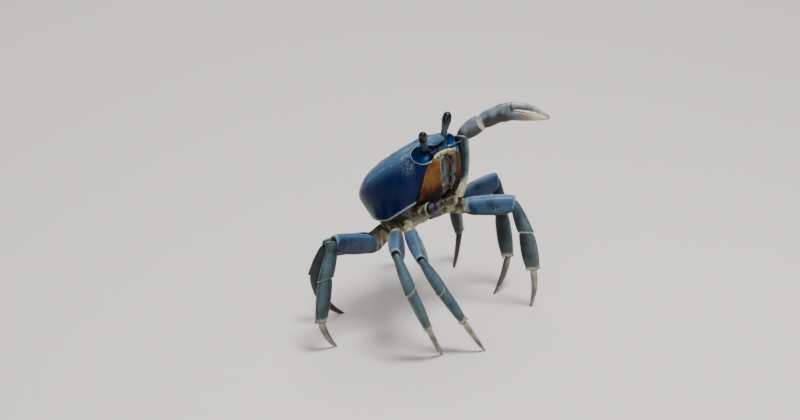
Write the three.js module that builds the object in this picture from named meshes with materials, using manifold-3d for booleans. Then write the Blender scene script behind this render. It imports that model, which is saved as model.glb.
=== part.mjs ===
// A blue land crab, life size, standing high on its eight walking legs with its left claw raised.
// Its right claw has been shed, so that arm ends in a short stump with a bud.
// Millimetres, +Z up. The crab faces -Y, its left side is at +X, and its feet stand at z = 0.
import * as THREE from "three";
import { mergeVertices } from "three/addons/utils/BufferGeometryUtils.js";
import Module from "manifold-3d";

const wasm = await Module();
wasm.setup();

// ---------------------------------------------------------------- driving dimensions
const GAP = 0.32; // clearance between pieces that meet
const FAR = 150; // half size of the blocks used for cutting, past all of the crab

// The body has a frame of its own, carried by the stance: x to its left, y to its rear, z to its back.
const STANCE = {
  pitch: 41, // nose up, in degrees
  roll: 4, // the left side is lower
  centre: [-7, 17.1, 98], // origin of the body frame
};
const BODY = {
  width: 88,
  front: -38,
  rear: 29.5,
  widestAt: -9,
  deepestAt: 2,
  dome: 15.5, // height of the back above the widest line
  depth: 32, // depth of the breast below it
  frontLevel: 5, // rise of the widest line at the front
  levelFrom: 10, // distance ahead of the middle where that rise begins
  // The mouth field stands proud of a plain slope by the swell, which grows between two depths below the
  // body's level and between two distances ahead of its middle.
  muzzle: { swell: 9, halfWidth: 22, below: [-4, 2], ahead: [6, 22] },
  // Powers of the curves that close the outline, the back and the underside towards the front and rear.
  outline: { ahead: 2.5, behind: 2 },
  back: { ahead: 2.8, behind: 1.55 },
  underside: { ahead: 1.6, behind: 8 },
  // Squareness of the cross-section above and below its widest line; 2 would be an ellipse.
  section: { above: 2.3, below: 3.2 },
  // Lower edge of the carapace: level, and rising to the rear behind the turn.
  suture: { level: -24.3, turn: 6, rise: 0.62 },
};
const ORBIT = { centre: [20, -36, 0.9], radii: [10.3, 6, 6.4] };
const MOUTH = { halfWidth: 10.4, rearAt: -13, topAt: -7, plate: 3 };
const CHEEK = { corner: [20, -36.5, -6.3], normal: [-0.81, -0.23, -0.54], topAt: -6, plate: 5 };
const ABDOMEN = { frontAt: 3, frontHalf: 4, rearHalf: 10, past: 5, plate: 2.5 };

// Walking legs. Lengths: hip piece (coxa to ischium), merus, carpus, propodus, dactyl.
const LEG_LENGTHS = {
  2: [17, 34, 23, 27, 29],
  3: [17, 43, 25, 30, 29],
  4: [14, 44, 25, 28, 28],
  5: [11, 35.5, 20, 25, 25],
};
const HIPS = { 2: [22, 3, -29], 3: [23.5, 12, -29], 4: [22.5, 20, -27], 5: [16, 25.5, -22.5] };
const HIP_ROOT = 5; // how far a hip piece starts inside the body before it is trimmed to it
const HIP_EDGES = [-2.5, 7.5, 16.25, 24.25, 34]; // stations that part the four hips of a side
// yaw: heading of the leg from straight sideways, forwards positive; lean: backward lean of its plane;
// carpus, propodus, dactyl: slope of each below the horizon. The merus takes the slope that brings the
// tip to the floor, and so does the hip piece, unless its own slope is given.
const LEG_POSES = {
  right_2: { yaw: 33, lean: 33, carpus: 80, propodus: 94, dactyl: 97 },
  right_3: { yaw: 30, lean: 23, carpus: 65, propodus: 100, dactyl: 114 },
  right_4: { yaw: -11, lean: 1, hip: 20, carpus: 67, propodus: 80, dactyl: 125 },
  right_5: { yaw: -36, lean: -18, hip: 47, carpus: 80, propodus: 111, dactyl: 136 },
  left_2: { yaw: 64, lean: -4, carpus: 69, propodus: 80, dactyl: 93 },
  left_3: { yaw: 22, lean: 9, carpus: 85, propodus: 87, dactyl: 124 },
  left_4: { yaw: -11, lean: 0, carpus: 45, propodus: 62, dactyl: 120 },
  left_5: { yaw: -35, lean: 0, carpus: 50, propodus: 62, dactyl: 75 },
};
// Half heights and half thicknesses at the start, middle and end of each piece of a leg.
const LEG_SHAPES = [
  { height: [4, 4.8, 5], thickness: [3.8, 4.2, 4.4] },
  { height: [5, 7, 6.2], thickness: [4.2, 5, 3.6] },
  { height: [2.8, 4.6, 5], thickness: [2.6, 4, 4.2] },
  { height: [4.9, 5.8, 4.8], thickness: [3.9, 3.8, 3] },
  { height: [2.4, 1.9, 0.65], thickness: [2, 1.6, 0.65] },
];
const LEG_PARTS = ["hip", "merus", "carpus", "propodus", "dactyl"];
const DACTYL_BOW = 1.9; // outward curve of the last piece at its middle
const FOOT_SINK = 0.7; // the tip runs this far below the floor before its flat is cut

// Arms. A direction is a heading from the left side, backwards positive, and a rise above the horizon.
const SHOULDER = [18, -8, -28];
const CLAW = [
  { name: "claw_left_base", heading: -60, rise: 10, length: 7, height: [5, 5, 4.2], thickness: [5, 5, 4.2] },
  {
    name: "claw_left_merus", heading: 17, rise: 71, length: 42,
    height: [4, 4.4, 4.8], thickness: [4, 4.6, 4.8], sway: 2.5,
  },
  {
    name: "claw_left_carpus", heading: -48, rise: 32, length: 16,
    height: [3.8, 5.9, 5.6], thickness: [3.4, 4.8, 4.5],
  },
  {
    name: "claw_left_palm", heading: -53, rise: 23, length: 19,
    height: [5.2, 6, 5.1], thickness: [4.1, 4.8, 4],
  },
];
// Fingers: lift is the height of the root over the wrist, and bow the rise of the middle over the ends.
const FIXED_FINGER = {
  heading: -64, rise: -5, length: 30, lift: -2.6, bow: -0.4,
  height: [3.8, 2.9, 0.8], thickness: [3, 2.3, 0.8],
};
const MOVING_FINGER = {
  heading: -64, rise: -13, length: 30, lift: 3.1, bow: 2.8,
  height: [2.9, 2.3, 0.8], thickness: [2.7, 2, 0.8],
};
const STUMP = { length: 9, radius: 4.8, rim: 5, bud: 4.2, budLength: 5.5, direction: [-0.12, -0.9, 0.34] };

const EYE_BASE = [12.5, -34.5, 5];
const EYESTALK = { length: 11, radius: [2.4, 2, 2.4] };
const EYE = { length: 9, radius: [2.6, 3.1, 2.2] };
const EYE_DIRECTIONS = { right: [-0.6, -0.3, 0.74], left: [0.22, -0.1, 0.97] };
const ANTENNA = {
  base: [12, -37.2, -1.5], direction: [0.6, -0.75, -0.1], length: 9, radius: [0.9, 0.55, 0.3],
};

const UP = new THREE.Vector3(0, 0, 1);
const rad = THREE.MathUtils.degToRad;
const { smoothstep } = THREE.MathUtils;
const SIDES = { right: -1, left: 1 };

// ---------------------------------------------------------------- materials
const finish = (color, roughness) => new THREE.MeshStandardMaterial({ color, roughness, metalness: 0 });
const materials = {
  carapace: finish("#26395c", 0.3),
  cream: finish("#c9c3a6", 0.5),
  rust: finish("#8a4a22", 0.5),
  mouth: finish("#8b93a0", 0.5),
  leg: finish("#3b5272", 0.4),
  dactyl: finish("#a59f7c", 0.5),
  claw: finish("#7d8798", 0.45),
  eye: finish("#12181a", 0.15),
  bud: finish("#3a2738", 0.5),
};

// ---------------------------------------------------------------- solids
function solidOf(geometry) {
  const bare = geometry.clone();
  bare.deleteAttribute("normal");
  bare.deleteAttribute("uv");
  const merged = mergeVertices(bare, 1e-4);
  return new wasm.Manifold(
    new wasm.Mesh({
      numProp: 3,
      vertProperties: merged.attributes.position.array,
      triVerts: new Uint32Array(merged.index.array),
    }),
  );
}

function geometryOf(solid) {
  const mesh = solid.getMesh();
  return new THREE.BufferGeometry()
    .setAttribute("position", new THREE.BufferAttribute(mesh.vertProperties, 3))
    .setIndex(new THREE.BufferAttribute(mesh.triVerts, 1));
}

function block(x0, x1, y0, y1, z0, z1) {
  const box = new THREE.BoxGeometry(x1 - x0, y1 - y0, z1 - z0);
  return solidOf(box.translate((x0 + x1) / 2, (y0 + y1) / 2, (z0 + z1) / 2));
}

// A large block that fills the far side of a plane, for cutting: the normal points into the block.
function beyond(point, normal) {
  const box = new THREE.BoxGeometry(2 * FAR, 2 * FAR, 2 * FAR).translate(0, 0, FAR);
  const turn = new THREE.Quaternion().setFromUnitVectors(UP, normal.clone().normalize());
  return solidOf(box.applyQuaternion(turn).translate(point.x, point.y, point.z));
}

function moved(geometry, place) {
  const position = geometry.attributes.position;
  const v = new THREE.Vector3();
  for (let i = 0; i < position.count; i++) {
    place(v.fromBufferAttribute(position, i));
    position.setXYZ(i, v.x, v.y, v.z);
  }
  return geometry;
}

// Cuts a solid given in the world's frame out of a mesh that stands anywhere in the scene.
function carve(mesh, worldSolid) {
  mesh.updateWorldMatrix(true, false);
  const placed = solidOf(mesh.geometry.clone().applyMatrix4(mesh.matrixWorld));
  const rest = geometryOf(placed.subtract(worldSolid));
  mesh.geometry = rest.applyMatrix4(mesh.matrixWorld.clone().invert());
}

const inWorld = (solid, group) => solidOf(geometryOf(solid).applyMatrix4(group.matrixWorld));

// ---------------------------------------------------------------- body surface
const signedPower = (value, power) => Math.sign(value) * Math.abs(value) ** power;
const arch = (t, power) => Math.max(0, 1 - t ** power) ** (1 / power);

function halfWidthAt(y) {
  const ahead = y < BODY.widestAt;
  const reach = ahead ? BODY.widestAt - BODY.front : BODY.rear - BODY.widestAt;
  const power = ahead ? BODY.outline.ahead : BODY.outline.behind;
  return (BODY.width / 2) * arch(Math.abs(y - BODY.widestAt) / reach, power);
}

function levelAt(y) {
  return BODY.frontLevel * smoothstep(-y, BODY.levelFrom, -BODY.front);
}

// How far along towards the front or rear end a station lies, 0 at the deepest and 1 at the end.
function endwards(y) {
  const end = y < BODY.deepestAt ? BODY.front : BODY.rear;
  return Math.min(1, (y - BODY.deepestAt) / (end - BODY.deepestAt));
}

function topAt(y) {
  const level = levelAt(y);
  const power = y < BODY.deepestAt ? BODY.back.ahead : BODY.back.behind;
  return level + (BODY.dome - level) * arch(endwards(y), power);
}

function bottomAt(y) {
  const level = levelAt(y);
  const power = y < BODY.deepestAt ? BODY.underside.ahead : BODY.underside.behind;
  return level - (BODY.depth + level) * (1 - endwards(y) ** power);
}

// How far a point of the face stands out towards its front and underside, equally in both.
function swellAt(x, y, z) {
  const low = smoothstep(-z, ...BODY.muzzle.below);
  const ahead = smoothstep(-y, ...BODY.muzzle.ahead);
  return BODY.muzzle.swell * low * ahead * Math.exp(-((x / BODY.muzzle.halfWidth) ** 4)) * Math.SQRT1_2;
}

// The whole shell of the body, drawn in everywhere by `inset`, in the body frame.
function bodySolid(inset = 0) {
  const middle = (BODY.front + BODY.rear) / 2;
  const halfLength = (BODY.rear - BODY.front) / 2;
  const shell = moved(new THREE.SphereGeometry(1, 28, 20), (v) => {
    const ring = Math.hypot(v.x, v.z);
    const y = middle + v.y * halfLength;
    const level = levelAt(y);
    const across = ring > 1e-6 ? v.x / ring : 0;
    const upwards = ring > 1e-6 ? v.z / ring : 0;
    const upper = upwards > 0;
    const power = 2 / (upper ? BODY.section.above : BODY.section.below);
    const reach = upper ? topAt(y) - level : level - bottomAt(y);
    v.set(halfWidthAt(y) * signedPower(across, power), y, level + reach * signedPower(upwards, power));
    const swell = swellAt(v.x, v.y, v.z);
    v.y -= swell;
    v.z -= swell;
  });
  shell.deleteAttribute("uv");
  shell.deleteAttribute("normal");
  const joined = mergeVertices(shell, 1e-4);
  joined.computeVertexNormals();
  const normals = joined.attributes.normal;
  let i = 0;
  return solidOf(
    moved(joined, (v) => {
      v.x -= inset * normals.getX(i);
      v.y -= inset * normals.getY(i);
      v.z -= inset * normals.getZ(i++);
    }),
  );
}

function orbitSolid(side, grow = 0) {
  const [x, y, z] = ORBIT.centre;
  const [rx, ry, rz] = ORBIT.radii;
  const bowl = new THREE.SphereGeometry(1, 14, 10).scale(rx + grow, ry + grow, rz + grow);
  return solidOf(bowl.translate(x * side, y, z));
}

function cheekZone(side, grow = 0) {
  const near = MOUTH.halfWidth + GAP - grow;
  const across = side > 0 ? [near, FAR] : [-FAR, -near];
  const room = block(...across, -FAR, MOUTH.rearAt + grow, -FAR, CHEEK.topAt + grow);
  const normal = new THREE.Vector3(CHEEK.normal[0] * side, CHEEK.normal[1], CHEEK.normal[2]);
  const corner = new THREE.Vector3(CHEEK.corner[0] * side, CHEEK.corner[1], CHEEK.corner[2]);
  return room.intersect(beyond(corner.addScaledVector(normal, -grow), normal));
}

function mouthZone(side, grow = 0) {
  const outer = MOUTH.halfWidth + grow;
  const inner = GAP / 2 - grow;
  const across = side > 0 ? [inner, outer] : [-outer, -inner];
  return block(...across, -FAR, MOUTH.rearAt + grow, -FAR, MOUTH.topAt + grow);
}

// All that lies under the lower edge of the carapace, drawn down by `inset`.
function belowSuture(inset) {
  const turn = new THREE.Vector3(0, BODY.suture.turn, BODY.suture.level);
  const planes = [0, BODY.suture.rise].map((rise) => new THREE.Vector3(0, rise, -1).normalize());
  const [ahead, behind] = planes.map((down) => beyond(turn.clone().addScaledVector(down, inset), down));
  return ahead.add(behind);
}

function abdomenZone(grow = 0) {
  const outline = new THREE.Shape();
  outline.moveTo(-ABDOMEN.frontHalf - grow, ABDOMEN.frontAt - grow);
  outline.lineTo(ABDOMEN.frontHalf + grow, ABDOMEN.frontAt - grow);
  outline.lineTo(ABDOMEN.rearHalf + grow, BODY.rear + ABDOMEN.past);
  outline.lineTo(-ABDOMEN.rearHalf - grow, BODY.rear + ABDOMEN.past);
  const prism = new THREE.ExtrudeGeometry(outline, { depth: FAR, bevelEnabled: false });
  return solidOf(prism.translate(0, 0, -FAR)).intersect(belowSuture(GAP));
}

// ---------------------------------------------------------------- scene graph
const crab = new THREE.Group();

function addMesh(parent, name, geometry, material) {
  const mesh = new THREE.Mesh(geometry, material);
  mesh.name = name;
  parent.add(mesh);
  return mesh;
}

const body = new THREE.Group();
body.position.set(...STANCE.centre);
body.rotation.set(rad(-STANCE.pitch), rad(STANCE.roll), 0);
crab.add(body);
body.updateWorldMatrix(true, false);

function buildBody() {
  const whole = bodySolid();
  const shellOf = (zone, plate) => zone.intersect(whole).subtract(bodySolid(plate));
  const roomFor = (zone, plate) => zone.subtract(bodySolid(plate + GAP));

  let upper = whole.subtract(belowSuture(-GAP / 2));
  let lower = whole.intersect(belowSuture(GAP / 2));
  for (const [sideName, side] of Object.entries(SIDES)) {
    const orbit = orbitSolid(side);
    const cheek = shellOf(cheekZone(side), CHEEK.plate).subtract(orbit);
    const plate = shellOf(mouthZone(side), MOUTH.plate);
    addMesh(body, `cheek_${sideName}`, geometryOf(cheek), materials.rust);
    addMesh(body, `maxilliped_${sideName}`, geometryOf(plate), materials.mouth);
    const room = roomFor(cheekZone(side, GAP), CHEEK.plate).add(roomFor(mouthZone(side, GAP), MOUTH.plate));
    upper = upper.subtract(room).subtract(orbit);
    lower = lower.subtract(room);
  }
  const abdomen = shellOf(abdomenZone(), ABDOMEN.plate);
  lower = lower.subtract(roomFor(abdomenZone(GAP), ABDOMEN.plate));
  addMesh(body, "carapace", geometryOf(upper), materials.carapace);
  addMesh(body, "sternum", geometryOf(lower), materials.cream);
  addMesh(body, "abdomen", geometryOf(abdomen), materials.cream);
}

// ---------------------------------------------------------------- limbs
// The value at u, from 0 to 1, of the parabola through a start, a middle and an end.
function through([start, middle, end], u) {
  return start * (1 - u) * (1 - 2 * u) + 4 * middle * u * (1 - u) + end * u * (2 * u - 1);
}

// The room past a joint that a piece needs so that its mitre is full.
const overrun = (halfHeight, bend) => 0.6 + halfHeight * Math.min(1, Math.tan(Math.abs(bend) / 2));

// A limb piece along +X from its own joint to the next, with blunt ends and its back at +Y. A bend is
// the change of slope at a joint, in radians, and the piece is mitred there at half of it; null leaves
// that end whole.
function limbPiece({ length, height, thickness, bow = 0, sway = 0, before = null, after = null, sides = 8 }) {
  const back = overrun(height[0], before ?? 0);
  const ahead = overrun(height[2], after ?? 0);
  const tube = new THREE.SphereGeometry(1, sides, 6).rotateZ(-Math.PI / 2);
  const shaped = moved(tube, (v) => {
    const ring = Math.hypot(v.y, v.z);
    const blunt = arch(Math.min(1, Math.abs(v.x)), 4);
    const x = -back + ((v.x + 1) / 2) * (length + back + ahead);
    const u = THREE.MathUtils.clamp(x / length, 0, 1);
    const y = ring > 1e-6 ? (v.y / ring) * blunt * through(height, u) : 0;
    const z = ring > 1e-6 ? (v.z / ring) * blunt * through(thickness, u) : 0;
    const rise = 4 * u * (1 - u);
    v.set(x, y + bow * rise, z + sway * rise);
  });
  let solid = solidOf(shaped);
  if (before !== null) {
    const normal = new THREE.Vector3(-Math.cos(before / 2), Math.sin(before / 2), 0);
    solid = solid.subtract(beyond(normal.clone().multiplyScalar(-GAP / 2), normal));
  }
  if (after !== null) {
    const normal = new THREE.Vector3(Math.cos(after / 2), Math.sin(after / 2), 0);
    const joint = new THREE.Vector3(length, 0, 0).addScaledVector(normal, -GAP / 2);
    solid = solid.subtract(beyond(joint, normal));
  }
  return geometryOf(solid);
}

// A group at a point whose +X runs along a direction and whose +Y is as near to `up` as can be.
function groupAlong(parent, origin, direction, up) {
  const x = direction.clone().normalize();
  const z = new THREE.Vector3().crossVectors(x, up).normalize();
  const y = new THREE.Vector3().crossVectors(z, x);
  const group = new THREE.Group();
  group.quaternion.setFromRotationMatrix(new THREE.Matrix4().makeBasis(x, y, z));
  group.position.copy(origin);
  parent.add(group);
  return group;
}

const fromBody = ([x, y, z], side = 1) => body.localToWorld(new THREE.Vector3(x * side, y, z));

function buildLeg(sideName, number, bodyRoom) {
  const side = SIDES[sideName];
  const pose = LEG_POSES[`${sideName}_${number}`];
  const lengths = LEG_LENGTHS[number];
  const hip = fromBody(HIPS[number], side);
  const outward = new THREE.Vector3(side, 0, 0).applyAxisAngle(UP, -side * rad(pose.yaw));
  const planeUp = UP.clone().applyAxisAngle(outward, side * rad(-pose.lean));
  const below = [pose.carpus, pose.propodus, pose.dactyl].map((slope) => -rad(slope));
  const fall = below.reduce((sum, slope, i) => sum + lengths[i + 2] * Math.sin(slope), 0);
  const climb = -(hip.z + FOOT_SINK) / planeUp.z - fall;
  const ownSlope = pose.hip === undefined ? null : -rad(pose.hip);
  const merus =
    ownSlope === null
      ? Math.asin(climb / (lengths[0] + lengths[1]))
      : Math.asin((climb - lengths[0] * Math.sin(ownSlope)) / lengths[1]);
  const slopes = [ownSlope ?? merus, merus, ...below];

  const leg = groupAlong(crab, hip, outward, planeUp);
  const floor = beyond(new THREE.Vector3(), UP.clone().negate());
  const joint = new THREE.Vector3();
  LEG_PARTS.forEach((part, i) => {
    const isLast = i === LEG_PARTS.length - 1;
    const root = i === 0 ? HIP_ROOT : 0;
    const geometry = limbPiece({
      ...LEG_SHAPES[i],
      length: lengths[i] + root,
      bow: isLast ? DACTYL_BOW : 0,
      before: i === 0 ? null : slopes[i] - slopes[i - 1],
      after: isLast ? null : slopes[i + 1] - slopes[i],
    }).translate(-root, 0, 0);
    const material = isLast ? materials.dactyl : i === 0 ? materials.cream : materials.leg;
    const mesh = addMesh(leg, `leg_${sideName}_${number}_${part}`, geometry, material);
    mesh.position.copy(joint);
    mesh.rotation.z = slopes[i];
    if (i === 0) {
      const order = number - 2;
      const slab = block(-FAR, FAR, HIP_EDGES[order] + GAP / 2, HIP_EDGES[order + 1] - GAP / 2, -FAR, FAR);
      const everywhere = block(-FAR, FAR, -FAR, FAR, -FAR, FAR);
      carve(mesh, bodyRoom);
      carve(mesh, inWorld(everywhere.subtract(slab), body));
    }
    if (isLast) {
      carve(mesh, floor);
    }
    joint.x += lengths[i] * Math.cos(slopes[i]);
    joint.y += lengths[i] * Math.sin(slopes[i]);
  });
}

function towards(heading, rise) {
  const level = Math.cos(rad(rise));
  const across = level * Math.cos(rad(heading));
  return new THREE.Vector3(across, level * Math.sin(rad(heading)), Math.sin(rad(rise)));
}

function buildClaw(bodyRoom) {
  const joint = fromBody(SHOULDER);
  const directions = CLAW.map((piece) => towards(piece.heading, piece.rise));
  const wrist = new THREE.Vector3();
  let palm;
  CLAW.forEach((piece, i) => {
    const group = groupAlong(crab, joint, directions[i], UP);
    const geometry = limbPiece({ ...piece, sides: 10 });
    const mesh = addMesh(group, piece.name, geometry, i === 0 ? materials.cream : materials.claw);
    for (const [j, sign] of [[i - 1, -1], [i + 1, 1]]) {
      if (directions[j]) {
        const normal = directions[i].clone().add(directions[j]).normalize().multiplyScalar(sign);
        const at = sign < 0 ? joint.clone() : joint.clone().addScaledVector(directions[i], piece.length);
        carve(mesh, beyond(at.addScaledVector(normal, -GAP / 2), normal));
      }
    }
    if (i < 2) {
      carve(mesh, bodyRoom);
    }
    joint.addScaledVector(directions[i], piece.length);
    palm = mesh;
    wrist.copy(joint);
  });
  return { palm, wrist };
}

function buildFingers({ palm, wrist }) {
  const place = (finger) => {
    const at = wrist.clone().addScaledVector(UP, finger.lift);
    const group = groupAlong(crab, at, towards(finger.heading, finger.rise), UP);
    group.updateWorldMatrix(true, false);
    return group;
  };
  const toWorld = (geometry, matrix) => solidOf(geometry.clone().applyMatrix4(matrix));

  const fixedGroup = place(FIXED_FINGER);
  const fixed = toWorld(limbPiece({ ...FIXED_FINGER, sides: 10 }), fixedGroup.matrixWorld);
  crab.remove(fixedGroup);
  palm.updateWorldMatrix(true, false);
  const hand = toWorld(palm.geometry, palm.matrixWorld).add(fixed);
  palm.geometry = geometryOf(hand).applyMatrix4(palm.matrixWorld.clone().invert());

  const movingGroup = place(MOVING_FINGER);
  addMesh(movingGroup, "claw_left_finger", limbPiece({ ...MOVING_FINGER, sides: 10 }), materials.claw);
  const room = limbPiece({
    ...MOVING_FINGER,
    length: MOVING_FINGER.length + 2 * GAP,
    height: MOVING_FINGER.height.map((h) => h + GAP),
    thickness: MOVING_FINGER.thickness.map((t) => t + 3 * GAP),
    sides: 10,
  });
  carve(palm, toWorld(room.translate(-GAP, 0, 0), movingGroup.matrixWorld));
}

function buildStump(bodyRoom) {
  const direction = new THREE.Vector3(...STUMP.direction);
  const group = groupAlong(crab, fromBody(SHOULDER, SIDES.right), direction, UP);
  const coxa = limbPiece({
    length: STUMP.length,
    height: [STUMP.radius, STUMP.radius, STUMP.rim],
    thickness: [STUMP.radius, STUMP.radius, STUMP.rim],
    after: 0,
    sides: 10,
  });
  const mesh = addMesh(group, "claw_right_stump", coxa, materials.cream);
  carve(mesh, bodyRoom);
  const bud = limbPiece({
    length: STUMP.budLength,
    height: [STUMP.bud, STUMP.bud, STUMP.bud / 2],
    thickness: [STUMP.bud, STUMP.bud, STUMP.bud / 2],
    before: 0,
    sides: 10,
  });
  addMesh(group, "claw_right_bud", bud, materials.bud).position.x = STUMP.length;
}

function buildFace(bodyRoom, filledBody) {
  for (const [sideName, side] of Object.entries(SIDES)) {
    const direction = new THREE.Vector3(...EYE_DIRECTIONS[sideName]);
    const eyeGroup = groupAlong(crab, fromBody(EYE_BASE, side), direction, new THREE.Vector3(0, 1, 0));
    const stalk = limbPiece({
      length: EYESTALK.length,
      height: EYESTALK.radius,
      thickness: EYESTALK.radius,
      after: 0,
    });
    carve(addMesh(eyeGroup, `eyestalk_${sideName}`, stalk, materials.leg), filledBody);
    const eye = limbPiece({ length: EYE.length, height: EYE.radius, thickness: EYE.radius, before: 0 });
    addMesh(eyeGroup, `eye_${sideName}`, eye, materials.eye).position.x = EYESTALK.length;

    const [x, y, z] = ANTENNA.direction;
    const aim = fromBody([x, y, z], side).sub(fromBody([0, 0, 0]));
    const antennaGroup = groupAlong(crab, fromBody(ANTENNA.base, side), aim, UP);
    const antenna = limbPiece({
      length: ANTENNA.length,
      height: ANTENNA.radius,
      thickness: ANTENNA.radius,
      sides: 6,
    });
    carve(addMesh(antennaGroup, `antenna_${sideName}`, antenna, materials.leg), bodyRoom);
  }
}

buildBody();
const orbits = orbitSolid(SIDES.left, -GAP).add(orbitSolid(SIDES.right, -GAP));
const filledBody = inWorld(bodySolid(-GAP), body);
const bodyRoom = filledBody.subtract(inWorld(orbits, body));
for (const sideName of Object.keys(SIDES)) {
  for (const number of Object.keys(HIPS)) {
    buildLeg(sideName, Number(number), bodyRoom);
  }
}
buildFingers(buildClaw(bodyRoom));
buildStump(bodyRoom);
buildFace(bodyRoom, filledBody);

export default crab;
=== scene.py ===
"""Blue land crab, life size, standing with its left claw raised. Shapes are worked in millimetres."""

import math
import random
from math import radians

import bmesh
import bpy
from mathutils import Matrix, Vector, noise


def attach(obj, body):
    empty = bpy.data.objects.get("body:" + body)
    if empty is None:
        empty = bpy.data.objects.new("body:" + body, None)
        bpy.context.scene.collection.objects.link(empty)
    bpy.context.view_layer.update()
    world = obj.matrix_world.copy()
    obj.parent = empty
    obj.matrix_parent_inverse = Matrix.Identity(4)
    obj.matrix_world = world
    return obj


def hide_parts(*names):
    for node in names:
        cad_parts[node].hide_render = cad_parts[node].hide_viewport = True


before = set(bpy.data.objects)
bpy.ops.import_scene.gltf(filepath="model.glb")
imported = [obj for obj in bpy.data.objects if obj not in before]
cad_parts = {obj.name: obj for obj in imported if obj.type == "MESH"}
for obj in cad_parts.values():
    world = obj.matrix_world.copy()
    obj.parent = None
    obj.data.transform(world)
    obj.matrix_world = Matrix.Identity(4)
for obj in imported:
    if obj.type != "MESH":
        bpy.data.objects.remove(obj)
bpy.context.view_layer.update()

bl_info = {
    "name": "Land crab",
    "version": (1, 0, 0),
    "blender": (4, 5, 0),
    "location": "3D View > Sidebar > Land crab",
    "description": "Builds a life-size blue land crab piece by piece",
    "category": "Add Mesh",
}

MM = 0.001
# Room between one plate and the next.
GAP = 0.32
SIDES = {"right": -1, "left": 1}

# The body's own frame: x to its left, y to its rear, z to its back.
STANCE_CENTRE = Vector((-7, 17.1, 98))
STANCE_PITCH = 41
STANCE_ROLL = 4
# The sizes of the solids that the pieces stand for, repeated here so that each piece fills its own solid.
WIDEST_AT = -9
DEEPEST_AT = 2
FRONT_LEVEL = 5
MUZZLE_SWELL = 9
MUZZLE_HALF_WIDTH = 22
SUTURE_LEVEL = -24.3
SUTURE_TURN = 6
SUTURE_RISE = 0.62
SUTURE_BEND = 3
ORBIT_CENTRE = (20, -36, 0.8)
ORBIT_RADII = (10.3, 6, 6.4)
ORBIT_SLANT = 0.16
ORBIT_REAR = -26
MOUTH_HALF_WIDTH = 10.4
MOUTH_REAR = -13
MOUTH_TOP = -7
CHEEK_CORNER = Vector((20, -36.5, -6.3))
CHEEK_NORMAL = Vector((-0.81, -0.23, -0.54)).normalized()
CHEEK_TOP = -6
ABDOMEN_FRONT = 3
ABDOMEN_LENGTH = 34
ABDOMEN_HALF_WIDTHS = (4, 10)
EPISTOME_TOP = -3.8
# What a field gives for a point on the other side of the body.
OUTSIDE = -9

# Lengths of the five pieces of each walking leg, from the hip to the tip.
LEG_LENGTHS = {
    2: (17, 34, 23, 27, 29),
    3: (17, 43, 25, 30, 29),
    4: (14, 44, 25, 28, 28),
    5: (11, 35.5, 20, 25, 25),
}
HIPS = {2: (22, 3, -29), 3: (23.5, 12, -29), 4: (22.5, 20, -27), 5: (16, 25.5, -22.5)}
# Yaw, lean, and the slopes of carpus, propodus and dactyl below the horizon, in degrees.
LEG_POSES = {
    ("right", 2): (33, 33, 80, 94, 97),
    ("right", 3): (30, 23, 65, 100, 114),
    ("right", 4): (-11, 1, 67, 80, 125),
    ("right", 5): (-36, -18, 80, 111, 136),
    ("left", 2): (64, -4, 69, 80, 93),
    ("left", 3): (22, 9, 85, 87, 124),
    ("left", 4): (-11, 0, 45, 62, 120),
    ("left", 5): (-35, 0, 50, 62, 75),
}
# A hip piece takes the slope of its merus, unless it has one of its own.
HIP_SLOPES = {("right", 4): 20, ("right", 5): 47}
# Legs that have rubbed white, and how much more than the rest. They are also made lighter by the amount
# below, which is painted sunlight.
WORN_AND_SUNLIT_LEGS = {("left", 2): 2.8}
PAINTED_SUNLIGHT = 0.2
# Legs painted darker all over, as painted shade on legs that stand in shadow, and legs whose upper piece is
# greyer, each with how much.
SHADED_LEGS = {("left", 3): 0.25, ("right", 4): 0.25, ("right", 5): 0.82, ("left", 4): 0.85, ("left", 5): 0.5}
GREY_LEGS = {("right", 2): 0.5, ("right", 3): 0.4}
# The darkest that shell gets in the folds and painted shade of a leg that isn't painted dark all over.
FOLD_SHADE = 0.72
LEG_PARTS = ("hip", "merus", "carpus", "propodus", "dactyl")
# Half heights and half thicknesses at the start, middle and end of each piece.
LEG_HEIGHTS = ((4, 4.8, 5), (5, 7, 6.2), (2.8, 4.6, 5), (4.9, 5.8, 4.8), (2.4, 1.9, 0.65))
LEG_THICKNESSES = ((3.8, 4.2, 4.4), (4.2, 5, 3.6), (2.6, 4, 4.2), (3.9, 3.8, 3), (2, 1.6, 0.65))
# How far the joint before the propodus is set aslant, along its height and along its thickness.
WRIST_SLANT = (0.3, 0.45)
# The most that a joint's plane turns to share a bend between its two pieces, in radians.
MOST_BEND = 0.22
DACTYL_BOW = 1.9
# A leg's axis ends this far under the floor, and its tip is cut flat there.
FOOT_SINK = 0.7

SHOULDER = (18, -8, -28)
# Heading, rise, length, half heights and half thicknesses of the raised arm's pieces.
ARM = {
    "base": (-60, 10, 7, (5, 5, 4.2), (5, 5, 4.2)),
    "merus": (17, 71, 42, (4, 4.4, 4.8), (4, 4.6, 4.8)),
    "carpus": (-48, 32, 16, (3.8, 5.9, 5.6), (3.4, 4.8, 4.5)),
    "palm": (-53, 23, 19, (5.2, 6, 5.1), (4.1, 4.8, 4)),
}
ARM_SWAY = 2.5
FIXED_FINGER = (-64, -5, 30, (3.8, 2.9, 0.8), (3, 2.3, 0.8))
MOVING_FINGER = (-64, -13, 30, (2.9, 2.3, 0.8), (2.7, 2, 0.8))
FIXED_FINGER_DROP = 2.6
FIXED_FINGER_BOW = -0.4
MOVING_FINGER_LIFT = 3.1
MOVING_FINGER_BOW = 2.8
KNUCKLE_RISE = 3.4
STUMP_DIRECTION = Vector((-0.12, -0.9, 0.34)).normalized()
STUMP_LENGTH = 9
BUD_LENGTH = 5.8

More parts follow.
